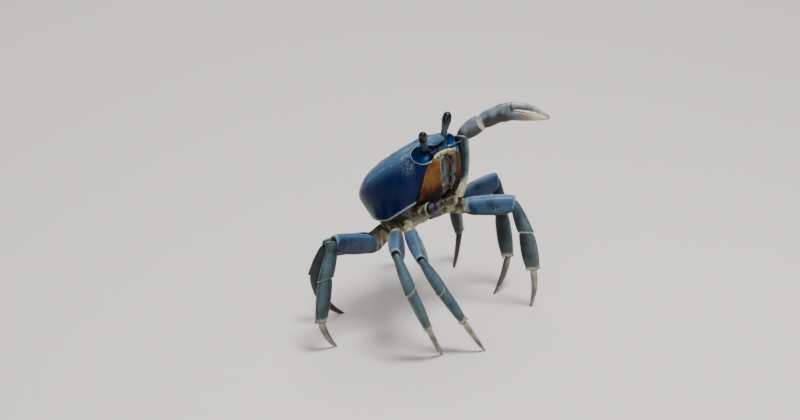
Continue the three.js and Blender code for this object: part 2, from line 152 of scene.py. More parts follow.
EYE_BASE = (12.5, -34.5, 5)
EYESTALK_LENGTH = 11
EYE_LENGTH = 9
EYE_DIRECTIONS = {"right": Vector((-0.6, -0.3, 0.74)), "left": Vector((0.22, -0.1, 0.97))}
ANTENNA_BASE = (12, -37.2, -1.5)
ANTENNA_DIRECTION = (0.6, -0.75, -0.1)
ANTENNA_LENGTH = 9
PALP_BASE = (3.4, -40.2, -8)
PALP_LENGTH = 7

# The point that the camera looks at.
CAMERA_AIM = Vector((-4.15, 20.9, 72.4))
# Place, width and power of each soft light, and the point that they all face.
LIGHTS = {
    "key": ((-0.15, -0.35, 1.3), 0.45, 22),
    "fill": ((-1.2, -0.3, 0.7), 1.0, 4),
    "rim": ((0.8, 0.5, 0.9), 0.7, 6),
}
LIGHT_AIM = Vector((0, 0, 0.07))
SKY_STRENGTH = 0.4
FLOOR_HALF_WIDTH = 6

UP = Vector((0, 0, 1))


def colour(code):
    """An sRGB hex value as linear red, green, blue and alpha."""
    parts = [int(code[i : i + 2], 16) / 255 for i in (1, 3, 5)]
    return tuple(c / 12.92 if c <= 0.04045 else ((c + 0.055) / 1.055) ** 2.4 for c in parts) + (1,)


def colour_of(value):
    """A colour in linear values, from an sRGB hex value or from a colour setting."""
    return colour(value) if isinstance(value, str) else tuple(value)


# ---------------------------------------------------------------- settings
def length_setting(name, description, millimetres):
    """A setting for a length, with its default in millimetres."""
    return bpy.props.FloatProperty(
        name=name, description=description, default=millimetres * MM, unit="LENGTH", subtype="DISTANCE"
    )


def angle_setting(name, description, degrees):
    """A setting for an angle, with its default in degrees."""
    return bpy.props.FloatProperty(
        name=name, description=description, default=radians(degrees), subtype="ANGLE"
    )


def colour_setting(name, description, code):
    """A setting for a colour, with its default as an sRGB hex value."""
    return bpy.props.FloatVectorProperty(
        name=name, description=description, default=colour(code), size=4, subtype="COLOR", min=0, max=1
    )


class CrabBodySettings(bpy.types.PropertyGroup):
    """Sizes of the body and its face."""

    width: length_setting("Width", "Width of the carapace at its widest", 88)
    front: length_setting("Front", "Distance from the body's origin to the front edge", 38)
    rear: length_setting("Rear", "Distance from the body's origin to the rear edge", 29.5)
    dome: length_setting("Dome", "Height of the back above the widest line", 15.5)
    depth: length_setting("Depth", "Depth of the breast below the widest line", 32)
    wall: length_setting("Wall", "Thickness of a shell plate", 1.1)


class CrabLimbSettings(bpy.types.PropertyGroup):
    """Sizes of the details on legs and claw."""

    spine: length_setting("Spine", "Length of a spine on a walking leg's tip", 1.05)
    bristle: length_setting("Bristle", "Length of a bristle at a joint", 2.2)
    tooth: length_setting("Tooth", "Height of the largest tooth of the claw", 1.1)


class CrabColourSettings(bpy.types.PropertyGroup):
    """Colours of the shell and the soft parts."""

    # Back, leg and claw are lit tones, used on upper sides as painted light. The flank is the crab's deep
    # blue, darkened further as painted shade.
    back: colour_setting("Back", "The upper side of the carapace", "#3d5f7e")
    flank: colour_setting("Flank", "The deep blue flank of the carapace", "#00143f")
    leg: colour_setting("Leg", "The blue of the upper walking legs", "#3c6388")
    claw: colour_setting("Claw", "The grey blue of the claw", "#6b7984")
    cream: colour_setting("Cream", "The underside, the hips and the base of the claw", "#5f5640")
    rust: colour_setting("Rust", "The downy cheeks", "#6e3216")
    eye: colour_setting("Eye", "The eyes", "#0c1413")


class CrabStageSettings(bpy.types.PropertyGroup):
    """The camera's lens, and where it stands."""

    lens: bpy.props.FloatProperty(
        name="Lens", description="Focal length in millimetres", default=172, min=20, unit="CAMERA"
    )
    azimuth: angle_setting("Azimuth", "Heading of the view round the crab", -61.24)
    elevation: angle_setting("Elevation", "Height of the view above the horizon", 19.29)
    distance: length_setting("Distance", "From the camera to the crab", 2600)


# ---------------------------------------------------------------- small sums
def smooth(low, high, value):
    """0 below low, 1 above high, and an even curve between them."""
    t = min(1, max(0, (value - low) / (high - low)))
    return t * t * (3 - 2 * t)


def arch(t, power):
    """The height of a rounded arch at t, from 1 at its middle to 0 at its foot. A power of 2 is round."""
    return max(0, 1 - t**power) ** (1 / power)


def signed_power(value, power):
    """The size of a value to a power, with the value's own sign."""
    return math.copysign(abs(value) ** power, value)


def ridge(distance, width):
    """1 on a line, falling away within about a width of it."""
    return math.exp(-((distance / width) ** 2))


def through(values, u):
    """The value at u, 0 to 1, on the smooth curve through three values."""
    start, middle, end = values
    return start * (1 - u) * (1 - 2 * u) + 4 * middle * u * (1 - u) + end * u * (2 * u - 1)


def bow_at(t, bow):
    """How far a bowed axis stands off its chord at t, 0 to 1."""
    return 4 * bow * t * (1 - t)


def to_segment(p, a, b):
    """How far p lies from the line piece between a and b."""
    along = b - a
    t = min(1, max(0, (p - a).dot(along) / along.length_squared))
    return (p - a - along * t).length


def to_line(p, points):
    """How far p lies from the line through the points."""
    return min(to_segment(p, a, b) for a, b in zip(points, points[1:]))


def curve_at(points, s):
    """The point at s, 0 to 1, on a curve through the points that never swings past them."""
    steps = [max(1e-4, math.dist(a, b)) ** 0.5 for a, b in zip(points, points[1:])]
    goal = s * sum(steps)
    i = 0
    while i < len(steps) - 1 and goal > steps[i]:
        goal -= steps[i]
        i += 1
    t = min(1, goal / steps[i])
    before, after = points[max(0, i - 1)], points[min(len(points) - 1, i + 2)]
    a, b = points[i], points[i + 1]
    made = []
    for p0, p1, p2, p3 in zip(before, a, b, after):
        m1, m2 = (p2 - p0) / 2, (p3 - p1) / 2
        flat = (p2 - p1) * 3
        m1 = max(-abs(flat), min(abs(flat), m1))
        m2 = max(-abs(flat), min(abs(flat), m2))
        h = t * t * (3 - 2 * t)
        made.append(p1 + (p2 - p1) * h + m1 * t * (1 - t) ** 2 - m2 * t * t * (1 - t))
    return made


def body_matrix():
    """Where the body stands: pitched nose up, rolled a little to its left, and lifted."""
    turn = Matrix.Rotation(radians(-STANCE_PITCH), 4, "X") @ Matrix.Rotation(radians(STANCE_ROLL), 4, "Y")
    return Matrix.Translation(STANCE_CENTRE) @ turn


BODY_TO_WORLD = body_matrix()


def from_body(point, side=1):
    """A point of the body's left side, or its mirror image on the right, in the crab's frame."""
    return BODY_TO_WORLD @ Vector((point[0] * side, point[1], point[2]))


def frame_along(origin, direction, up):
    """A frame at origin with x along the direction and y as near to up as can be."""
    x = direction.normalized()
    z = x.cross(up).normalized()
    y = z.cross(x)
    made = Matrix((x, y, z)).transposed().to_4x4()
    made.translation = origin
    return made


def towards(heading, rise):
    """The direction with a heading round the floor and a rise above it, in degrees."""
    heading, rise = radians(heading), radians(rise)
    level = math.cos(rise)
    return Vector((level * math.cos(heading), level * math.sin(heading), math.sin(rise)))


# ---------------------------------------------------------------- mesh helpers
def layer(bm, name):
    """The float attribute of that name on the vertices."""
    return bm.verts.layers.float.get(name) or bm.verts.layers.float.new(name)


def cut_along(bm, field):
    """Cuts away all that lies where the field is positive, along the field's own zero line."""
    place = bm.verts.layers.float_vector.new("place")
    for v in bm.verts:
        v[place] = v.co
        v.co.z = field(v)
    everything = bm.verts[:] + bm.edges[:] + bm.faces[:]
    bmesh.ops.bisect_plane(bm, geom=everything, dist=1e-5, plane_no=(0, 0, 1), clear_outer=True)
    for v in bm.verts:
        v.co = v[place]
    bm.verts.layers.float_vector.remove(place)


def sphere(around, along):
    """A unit ball with its poles on X and its map in turns round and along."""
    bm = bmesh.new()
    bm.loops.layers.uv.new("UVMap")
    bmesh.ops.create_uvsphere(bm, u_segments=around, v_segments=along, radius=1, calc_uvs=True)
    bmesh.ops.rotate(bm, verts=bm.verts, matrix=Matrix.Rotation(radians(90), 3, "Y"))
    return bm


def join(bm, other):
    """Adds a second mesh to the first and frees it."""
    scrap = bpy.data.meshes.new("scrap")
    other.to_mesh(scrap)
    bm.from_mesh(scrap)
    bpy.data.meshes.remove(scrap)
    other.free()


def finish_piece(bm, name, material, nodes=(), place=BODY_TO_WORLD, wall=None):
    """Turns a mesh in millimetres into a finished piece of the crab. A wall is a thickness to the inside."""
    bm.transform(Matrix.Scale(MM, 4) @ place)
    for v in bm.verts:
        v.co.z = max(v.co.z, 0)
    if wall is None:
        bmesh.ops.recalc_face_normals(bm, faces=bm.faces)
    mesh = bpy.data.meshes.new(name)
    bm.to_mesh(mesh)
    bm.free()
    mesh.shade_smooth()
    mesh.materials.append(material)
    piece = bpy.data.objects.new(name, mesh)
    bpy.context.scene.collection.objects.link(piece)
    if wall is not None:
        modifier = piece.modifiers.new("Wall", "SOLIDIFY")
        modifier.thickness = wall * MM
        modifier.offset = -1
    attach(piece, "root")
    if nodes:
        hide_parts(*nodes)


# ---------------------------------------------------------------- body surface
# Faces round and along the skin. Ahead of this place on the unit ball it is twice as fine, for the face.
SKIN_AROUND = 176
SKIN_ALONG = 132
FINE_FACE = -0.72


def half_width_at(y, body):
    """Half the width of the body at a distance along it."""
    ahead = y < WIDEST_AT
    reach = WIDEST_AT + body["front"] if ahead else body["rear"] - WIDEST_AT
    return body["width"] / 2 * arch(min(1, abs(y - WIDEST_AT) / reach), 2.5 if ahead else 2)


def level_at(y):
    """Height of the body's widest line, which rises towards the front."""
    return FRONT_LEVEL * smooth(10, 38, -y)


def endwards(y, body):
    """0 where the body is deepest and 1 at its front or rear end."""
    end = -body["front"] if y < DEEPEST_AT else body["rear"]
    return min(1, (y - DEEPEST_AT) / (end - DEEPEST_AT))


def body_point(v, body):
    """Where a point of the unit ball lands on the body, whose front and rear are the ball's poles."""
    ring = math.hypot(v.x, v.z)
    y = (body["rear"] - body["front"]) / 2 + v.y * (body["rear"] + body["front"]) / 2
    level = level_at(y)
    across, upwards = (v.x / ring, v.z / ring) if ring > 1e-6 else (0, 0)
    ahead = y < DEEPEST_AT
    if upwards > 0:
        power = 2 / 2.3
        reach = (body["dome"] - level) * arch(endwards(y, body), 2.8 if ahead else 1.55)
    else:
        power = 2 / 3.2
        reach = (body["depth"] + level) * (1 - endwards(y, body) ** (1.6 if ahead else 8))
    x = half_width_at(y, body) * signed_power(across, power)
    z = level + reach * signed_power(upwards, power)
    low = 1 - smooth(-2, 4, z)
    swell = MUZZLE_SWELL * low * smooth(6, 22, -y) * math.exp(-((x / MUZZLE_HALF_WIDTH) ** 4)) / math.sqrt(2)
    return Vector((x, y - swell, z - swell))


def body_mesh(body):
    """The whole body as one closed skin, fine over the face, with its place and its outward side kept."""
    bm = bmesh.new()
    bmesh.ops.create_uvsphere(bm, u_segments=SKIN_AROUND, v_segments=SKIN_ALONG, radius=1)
    bmesh.ops.rotate(bm, verts=bm.verts, matrix=Matrix.Rotation(radians(90), 3, "X"))
    face = [e for e in bm.edges if all(v.co.y < FINE_FACE for v in e.verts)]
    bmesh.ops.subdivide_edges(bm, edges=face, cuts=1, use_grid_fill=True, smooth=0)
    for v in bm.verts:
        v.co = body_point(v.co.normalized(), body)
    bmesh.ops.remove_doubles(bm, verts=bm.verts, dist=0.005)
    bmesh.ops.recalc_face_normals(bm, faces=bm.faces)
    bm.normal_update()
    base = bm.verts.layers.float_vector.new("base")
    outward = bm.verts.layers.float_vector.new("outward")
    for v in bm.verts:
        v[base] = v.co
        v[outward] = v.normal
    return bm


def above_suture(p):
    """Height of a point above the lower edge of the carapace, which turns up towards the rear."""
    behind = p.y - SUTURE_TURN
    rise = SUTURE_RISE * SUTURE_BEND * math.log1p(math.exp(min(30, behind / SUTURE_BEND)))
    return (p.z - SUTURE_LEVEL - rise) / (1 + SUTURE_RISE * smooth(-4, 6, behind) * 0.3)


def soft_least(values, softness):
    """The least of some values, with its corners rounded."""
    low = min(values)
    return low - softness * math.log(sum(math.exp((low - v) / softness) for v in values))


def inside_cheek(p):
    """How far a point lies inside the cheek, on either side of the body."""
    x = abs(p.x)
    slanted = (Vector((x, p.y, p.z)) - CHEEK_CORNER).dot(CHEEK_NORMAL)
    return soft_least((x - mouth_half_width(p.y) - GAP, MOUTH_REAR - p.y, CHEEK_TOP - p.z, slanted), 0.5)


def mouth_half_width(y):
    """Half the width of the mouth field, which is rounded off towards its rear."""
    return MOUTH_HALF_WIDTH - 8.8 * smooth(-37, MOUTH_REAR, y)


def mouth_top(x):
    """Height of the mouth field's upper edge, which is arched."""
    return MOUTH_TOP + 1.3 * max(0, 1 - (x / 12) ** 2)


def epistome_top(x):
    """Height of the upper edge of the pale plate over the mouth."""
    return EPISTOME_TOP + 1.6 * max(0, 1 - (x / 13) ** 2)


def inside_mouth(p):
    """How far a point lies inside the mouth field."""
    x = abs(p.x)
    return soft_least((mouth_half_width(p.y) - x, MOUTH_REAR - p.y, mouth_top(x) - p.z), 0.4)


def inside_epistome(p):
    """How far a point lies inside the pale plate over the mouth."""
    x = abs(p.x)
    return min(MOUTH_HALF_WIDTH + 4 - x, -30 - p.y, p.z - mouth_top(x) - GAP, epistome_top(x) - p.z)


def inside_face(p):
    """How far a point lies inside the cheeks, the mouth field or the pale plate."""
    return max(inside_cheek(p), inside_mouth(p), inside_epistome(p))


def inside_abdomen(p):
    """How far a point lies inside the folded abdomen, which widens to the rear."""
    t = (p.y - ABDOMEN_FRONT) / ABDOMEN_LENGTH
    near, far = ABDOMEN_HALF_WIDTHS
    half = near + (far - near) * max(0, t)
    return min(half - abs(p.x), p.y - ABDOMEN_FRONT, -above_suture(p) - GAP)


def in_orbit(p):
    """The point in the orbit's own measure, where 1 is its rim."""
    outward = abs(p.x) - ORBIT_CENTRE[0]
    return Vector((outward / ORBIT_RADII[0], (p.y - ORBIT_CENTRE[1]) / ORBIT_RADII[1],
                   (p.z - ORBIT_CENTRE[2] - ORBIT_SLANT * outward) / ORBIT_RADII[2]))


def orbit_reach(q):
    """0 at the middle of the orbit's opening and 1 at its rim, which is pointed at its outer corner."""
    power = 2 - 0.3 * smooth(0, 0.6, q.x) * smooth(-0.2, 0.3, q.z)
    across = (abs(q.x) ** power + abs(q.z) ** power) ** (1 / power)
    return across / math.sqrt(max(0.05, 1 - min(0.9, q.y**2)))


def into_orbit(p, q):
    """Moves a point of the skin down to the wall of the orbit's bowl."""
    s = orbit_reach(q)
    if s >= 1 or p.y > -25:
        return p
    rim = math.asin(max(-0.9, min(0.9, q.y)))
    height = rim + (math.pi / 2 - rim) * (1 - s)
    scale = math.cos(height) / (s * math.cos(rim) or 1)
    outward = q.x * scale * ORBIT_RADII[0]
    x = math.copysign(ORBIT_CENTRE[0] + outward, p.x)
    return Vector((x, ORBIT_CENTRE[1] + math.sin(height) * ORBIT_RADII[1],
                   ORBIT_CENTRE[2] + ORBIT_SLANT * outward + q.z * scale * ORBIT_RADII[2]))


# ---------------------------------------------------------------- marks and relief
# What a piece's material reads from its vertices: how pale, light, dark, of its inner colour, and worn it is.
# On many pieces light and dark are painted light and painted shade: lighter on upper sides, darker below and
# in grooves, gaps and hollows.
MARKS = ("pale", "light", "dark", "inner", "worn")
LIGHT = MARKS.index("light")
DARK = MARKS.index("dark")


def marks(pale=0, light=0, dark=0, inner=0, worn=0):
    """The values of the marks, in the order of MARKS."""
    return [pale, light, dark, inner, worn]


def set_marks(v, layers, values):
    """Writes the marks of a vertex, each kept between 0 and 1."""
    for shade, value in zip(layers, values):
        v[shade] = min(1, max(0, value))


# On the side of the carapace: the pale line along it, the patch rubbed white before it, and two small teeth.
SIDE_RIDGE = [
    Vector(p)
    for p in (
        (30.3, -33, 3.4), (36.2, -29, 3), (40.1, -23.4, 4.6),
        (41.7, -15.7, 6.2), (41.9, -7.7, 6.4), (41.1, 1, 5.5),
    )
]
WORN_PATCH = Vector((33.3, -30, -2))
SHOULDER_TEETH = [Vector(p) for p in ((29.9, -33.2, 3.4), (35.4, -29.6, 3))]
# All of these lie farther out than this.
SIDE_FROM = 28
# The furrows that part the regions of the back, on one side, as x and y.
FURROWS = [
    [Vector(p) for p in line]
    for line in (
        ((0, 1.5), (5, 2.5), (9.5, 0), (10.5, -5), (15, -11), (22, -15)),
        ((9.5, 0), (11.5, 6), (10, 13), (10.5, 19)),
        ((0, -33), (0, -24), (2.6, -18), (5, -9), (9.5, -3)),
        ((7, -31), (10, -26), (17, -25)),
    )
]
# A furrow and its banks are no wider to each side than this.
FURROW_REACH = 6


def back_relief(p):
    """Rise over the back: the furrows between its regions, and two low knobs behind the brow."""
    flat = Vector((abs(p.x), p.y))
    height = smooth(4, 8, p.z)
    rise = 0.6 * ridge(math.hypot(flat.x - 4.5, (p.y + 30) * 0.8), 3)
    for line in FURROWS:
        near = to_line(flat, line)
        if near < FURROW_REACH:
            rise += (0.25 * ridge(near - 3.2, 2) - 0.55 * ridge(near, 1.3)) * height
    return rise


def side_relief(p):
    """Rise, paleness and wear along the side: a fine line, two small teeth and a patch of worn specks."""
    mirrored = Vector((abs(p.x), p.y, p.z))
    line = ridge(to_line(mirrored, SIDE_RIDGE), 0.6) * smooth(4, -2, p.y) * smooth(-33, -25, p.y)
    rise, pale = 0.4 * line, 0.55 * line
    for tooth in SHOULDER_TEETH:
        point = ridge((mirrored - tooth).length, 1.3)
        rise += 0.8 * point
        pale = max(pale, 0.2 * point)
    worn = ridge((mirrored - WORN_PATCH).length, 5)
    return rise + 0.12 * worn * smooth(0.1, 0.35, noise.noise(p * 1.3)), pale, worn


def brow_relief(p):
    """Rise, paleness, lightness and darkness of the brow's rim and of the hollow under it. The rim is lighter
    higher up as painted light, and the hollow is dark with painted shade, save on the feelers' bases in it,
    which are lighter.
    """
    x = abs(p.x)
    lip = smooth(11.5, 9, x) if p.y < -30 else 0
    if not lip:
        return 0, 0, 0, 0
    margin = p.z - 3.5 - 0.018 * x * x
    under = smooth(0, -1.1, margin) * smooth(-0.8, 0.4, p.z - epistome_top(x))
    feelers = max(ridge(math.hypot(x - 3.2, p.z - 0.3), 1.6), ridge(math.hypot(x - 7.6, p.z - 0.2), 1.5))
    rise = lip * (0.9 * ridge(margin - 1.4, 1.6) + under * (2.2 * feelers - 2.6))
    pale = lip * 0.8 * ridge(margin - 0.1, 0.5)
    light = max(lip * smooth(1, 5, p.z), 0.7 * lip * under * feelers)
    # Painted shade in the hollow under the rim, except on the feelers' bases.
    return rise, pale, light, 0.85 * lip * under * (1 - feelers)


def carapace_relief(p):
    """Rise of the carapace's surface over the plain skin, and its marks there. The back is lighter than the
    flank as painted light.
    """
    q = in_orbit(p)
    s = orbit_reach(q) if p.y < ORBIT_REAR else math.inf
    rise = back_relief(p) if p.z > 4 else 0
    pale = worn = 0
    if abs(p.x) > SIDE_FROM:
        side_rise, pale, worn = side_relief(p)
        rise += side_rise
    fading = 1 - 0.9 * smooth(-0.1, -0.75, q.x) * smooth(-0.5, 0.1, q.z)
    brow_rise, brow_pale, brow_light, dark = brow_relief(p)
    edge = above_suture(p)
    rise += 0.5 * ridge(s - 1.06, 0.06) * fading + brow_rise + 0.45 * ridge(edge - 1.1, 0.7)
    rim = 0.85 * ridge(s - 1.03, 0.05) * fading
    side_rim = smooth(2.3, 1.2, edge) * smooth(16, 20, abs(p.x))
    # A broad pale band above the rear edge: partly a pale rim, partly a painted highlight.
    rear_rim_highlight = 0.42 * smooth(5.5, 1.5, edge) * smooth(2, 16, p.y)
    return rise, marks(
        pale=max(pale, rim, brow_pale, side_rim, rear_rim_highlight),
        # Painted light: lighter towards the top of the back.
        light=max(0.9 * smooth(-2, 9, p.z - 0.12 * max(0, p.y)), brow_light),
        dark=dark,
        inner=smooth(1.0, 0.86, s),
        worn=max(worn, 0.12 * smooth(4, 9, p.z)),
    )


def skin_patch(body, field, relief, edge_roll=0.8, roll_width=1.2):
    """A shell plate: the part of the skin where the field is positive, in relief, with rolled edges."""
    bm = body["skin"].copy()
    base = bm.verts.layers.float_vector["base"]
    cut_along(bm, lambda v: -field(v[base]))
    outward = bm.verts.layers.float_vector["outward"]
    layers = [layer(bm, name) for name in MARKS]
    for v in bm.verts:
        p, n = v[base].copy(), v[outward].normalized()
        rise, values = relief(p)
        rise -= edge_roll * (1 - smooth(0, roll_width, max(0, field(p)))) ** 2
        v.co = into_orbit(p, in_orbit(p)) + n * rise
        set_marks(v, layers, values)
    bmesh.ops.recalc_face_normals(bm, faces=bm.faces)
    if sum(f.normal.dot(f.verts[0][outward]) for f in bm.faces) < 0:
        bmesh.ops.reverse_faces(bm, faces=bm.faces)
    bm.normal_update()
    for name in ("base", "outward"):
        bm.verts.layers.float_vector.remove(bm.verts.layers.float_vector[name])
    return bm


# ---------------------------------------------------------------- limb tints
# Each gives the marks at a distance x along a piece, with up and out from -1 to 1 round it. Most make a piece
# lighter above and darker below, as painted light and shade.
def plain_tints(x, length, up, out):
    """Pale at both ends and along the back, and lighter above than below, which is painted light."""
    ends = max(smooth(0.6, -0.4, x), smooth(length - 0.9, length + 0.1, x))
    return marks(pale=0.65 * ends + 0.25 * smooth(0.85, 1, up), light=smooth(-0.5, 0.8, up))


def hip_tints(x, length, up, out):
    """Cream, with dark blue blotches, lighter above as painted light and darker below as painted shade."""
    blotch = noise.noise(Vector((x * 0.28, up * 1.3, out * 1.3)))
    return marks(
        pale=0.2 + 0.4 * smooth(0, -0.3, blotch),
        light=smooth(-0.6, 0.8, up),
        dark=0.35 * smooth(0, -0.8, up),
        inner=0.9 * smooth(0.12, 0.34, blotch),
    )


def merus_tints(x, length, up, out):
    """A blue panel with a paler border, lighter above as painted light, over a lower side darkened as painted
    shade.
    """
    u = x / length
    border = max(ridge(up - 0.8, 0.13), 0.9 * smooth(0.1, 0.03, u), 0.9 * smooth(0.93, 0.98, u))
    low = smooth(-0.3, -0.6, up)
    far_end = 0.55 * smooth(0.9, 1, u) * smooth(-0.6, 0.4, up)
    return marks(
        pale=max(0.4 * border, 0.6 * smooth(6, 1, x), far_end) * (1 - low),
        light=0.2 + 0.8 * smooth(0.1, 0.85, up) + 0.3 * border,
        dark=0.85 * low,
        worn=0.1 * ridge(u - 0.7, 0.22) * ridge(up + 0.2, 0.5),
    )


def carpus_tints(x, length, up, out):
    """Lighter along its ridge as painted light, dark below as painted shade, with a thin pale line at its
    end.
    """
    u = x / length
    line = smooth(length - 1.5, length - 0.7, x) * (0.75 + 0.25 * out)
    return marks(
        pale=max(0.12 * smooth(0.9, 1, up), 0.62 * line),
        light=smooth(-0.4, 0.6, up) + 0.4 * line,
        dark=0.6 * smooth(-0.4, -0.85, up),
        inner=0.15 * u,
        worn=0.2 * ridge(u - 0.6, 0.25) * smooth(0, 0.7, up),
    )


def propodus_tints(x, length, up, out):
    """Turns greenish towards a pale far end with a dark fringe, and has a worn row along its ridge; it is
    lighter above as painted light and darker below as painted shade.
    """
    u = x / length
    end = smooth(0.76, 1, u)
    fringe = smooth(length - 0.8, length - 0.3, x)
    start = smooth(1.1, 0.3, x)
    return marks(
        pale=max(0.75 * end * end, 0.5 * start, 0.12 * smooth(0.92, 1, up)),
        light=smooth(-0.4, 0.6, up) + 0.4 * end,
        dark=max(0.55 * smooth(-0.4, -0.85, up) * (1 - end), fringe),
        inner=0.9 * smooth(0.4, 0.95, u),
        worn=0.2 * ridge(up - 0.8, 0.12),
    )


def dactyl_tints(x, length, up, out):
    """Pale, with brown edges and tip, and lighter above as painted light."""
    u = x / length
    return marks(
        pale=0.6 * smooth(0.3, 0, u),
        light=smooth(-0.8, 0.6, up),
        dark=max(0.5 * smooth(0.8, 1, u), 0.35 * ridge(out, 0.3)),
    )


def arm_tints(x, length, up, out):
    """The long arm piece is dark, with a pale ridge down its front and a stained cream foot; it is lighter
    towards the ridge and darker on its far side, as painted light and shade.
    """
    u = x / length
    foot = smooth(0.48, 0.22, u + 0.12 * noise.noise(Vector((x * 0.3, out, up))) + 0.08 * (1 - out))
    stain = smooth(0.1, 0.4, noise.noise(Vector((x * 0.35, out * 2, up * 2)))) * foot
    return marks(
        pale=max(0.4 * smooth(0.72, 0.95, out), 0.75 * foot, 0.5 * smooth(0.95, 1, u)),
        light=smooth(0.25, 0.75, out),
        dark=max(0.4 * smooth(0.1, -0.8, out) * (1 - foot), 0.35 * stain),
        worn=0.3 * smooth(0.6, 0.9, out),
    )


def arm_carpus_tints(x, length, up, out):
    """Grey blue above, brown below and at its root, which is painted light and shade, with a ragged cream
    rim.
    """
    wander = 0.8 * noise.noise(Vector((up * 1.5, out * 1.5, 0)))
    rim = smooth(length - 3, length - 1.8, x + wander) * smooth(1.1, 0.1, up)
    return marks(
        pale=0.75 * rim,
        light=smooth(-0.2, 0.6, up) * smooth(-1, 5, x) + rim,
        dark=0.4 * smooth(-0.3, -0.8, up) * (1 - rim),
        worn=0.15,
    )


def stump_tints(x, length, up, out):
    """Dirty cream, dark in blotches, and lighter above as painted light."""
    stain = noise.noise(Vector((x * 0.3, up * 1.5, out * 1.5)))
    rim = smooth(length - 1.5, length - 0.2, x)
    return marks(
        pale=max((0.35 + 0.5 * stain) * rim, 0.5 * smooth(0, 0.4, stain)),
        light=smooth(-0.5, 0.6, up),
        dark=0.8 * smooth(0, -0.35, stain) * (1 - rim),
        inner=0.5 * smooth(0.15, 0.4, -stain),
    )


def bud_tints(x, length, up, out):
    """Dark skin with lighter creases, darkest as painted shade at its root inside the stump and lighter
    towards its tip.
    """
    crease = ridge(noise.noise(Vector((x * 0.4, up * 1.6, out * 1.6))), 0.1)
    return marks(pale=0.45 * crease, light=0.8 * smooth(0, 1, x / length), dark=smooth(0.4, 0, x / length))


def stalk_tints(x, length, up, out):
    """Slate blue, dark with painted shade round its root, where it meets the head."""
    return marks(
        pale=0.2 * ridge(x - 1.3, 0.6),
        light=0.2 + 0.7 * smooth(0, 5, x) * (0.6 + 0.4 * out),
        dark=0.5 * smooth(2, -1, x),
    )


def eye_tints(x, length, up, out):
    """Nearly black, a little greener low on its outer side."""
    return marks(light=0.6 * smooth(4, 0, x) * smooth(-0.2, 1, out))


def palp_tints(x, length, up, out):
    """Red brown, paler at its end, and lighter above as painted light."""
    return marks(pale=0.3 * smooth(5, 7.5, x), light=0.4 * smooth(-0.5, 0.6, up), dark=0.45, inner=0.85)


TINTS = {"hip": hip_tints, "merus": merus_tints, "carpus": carpus_tints, "propodus": propodus_tints,
         "dactyl": dactyl_tints}

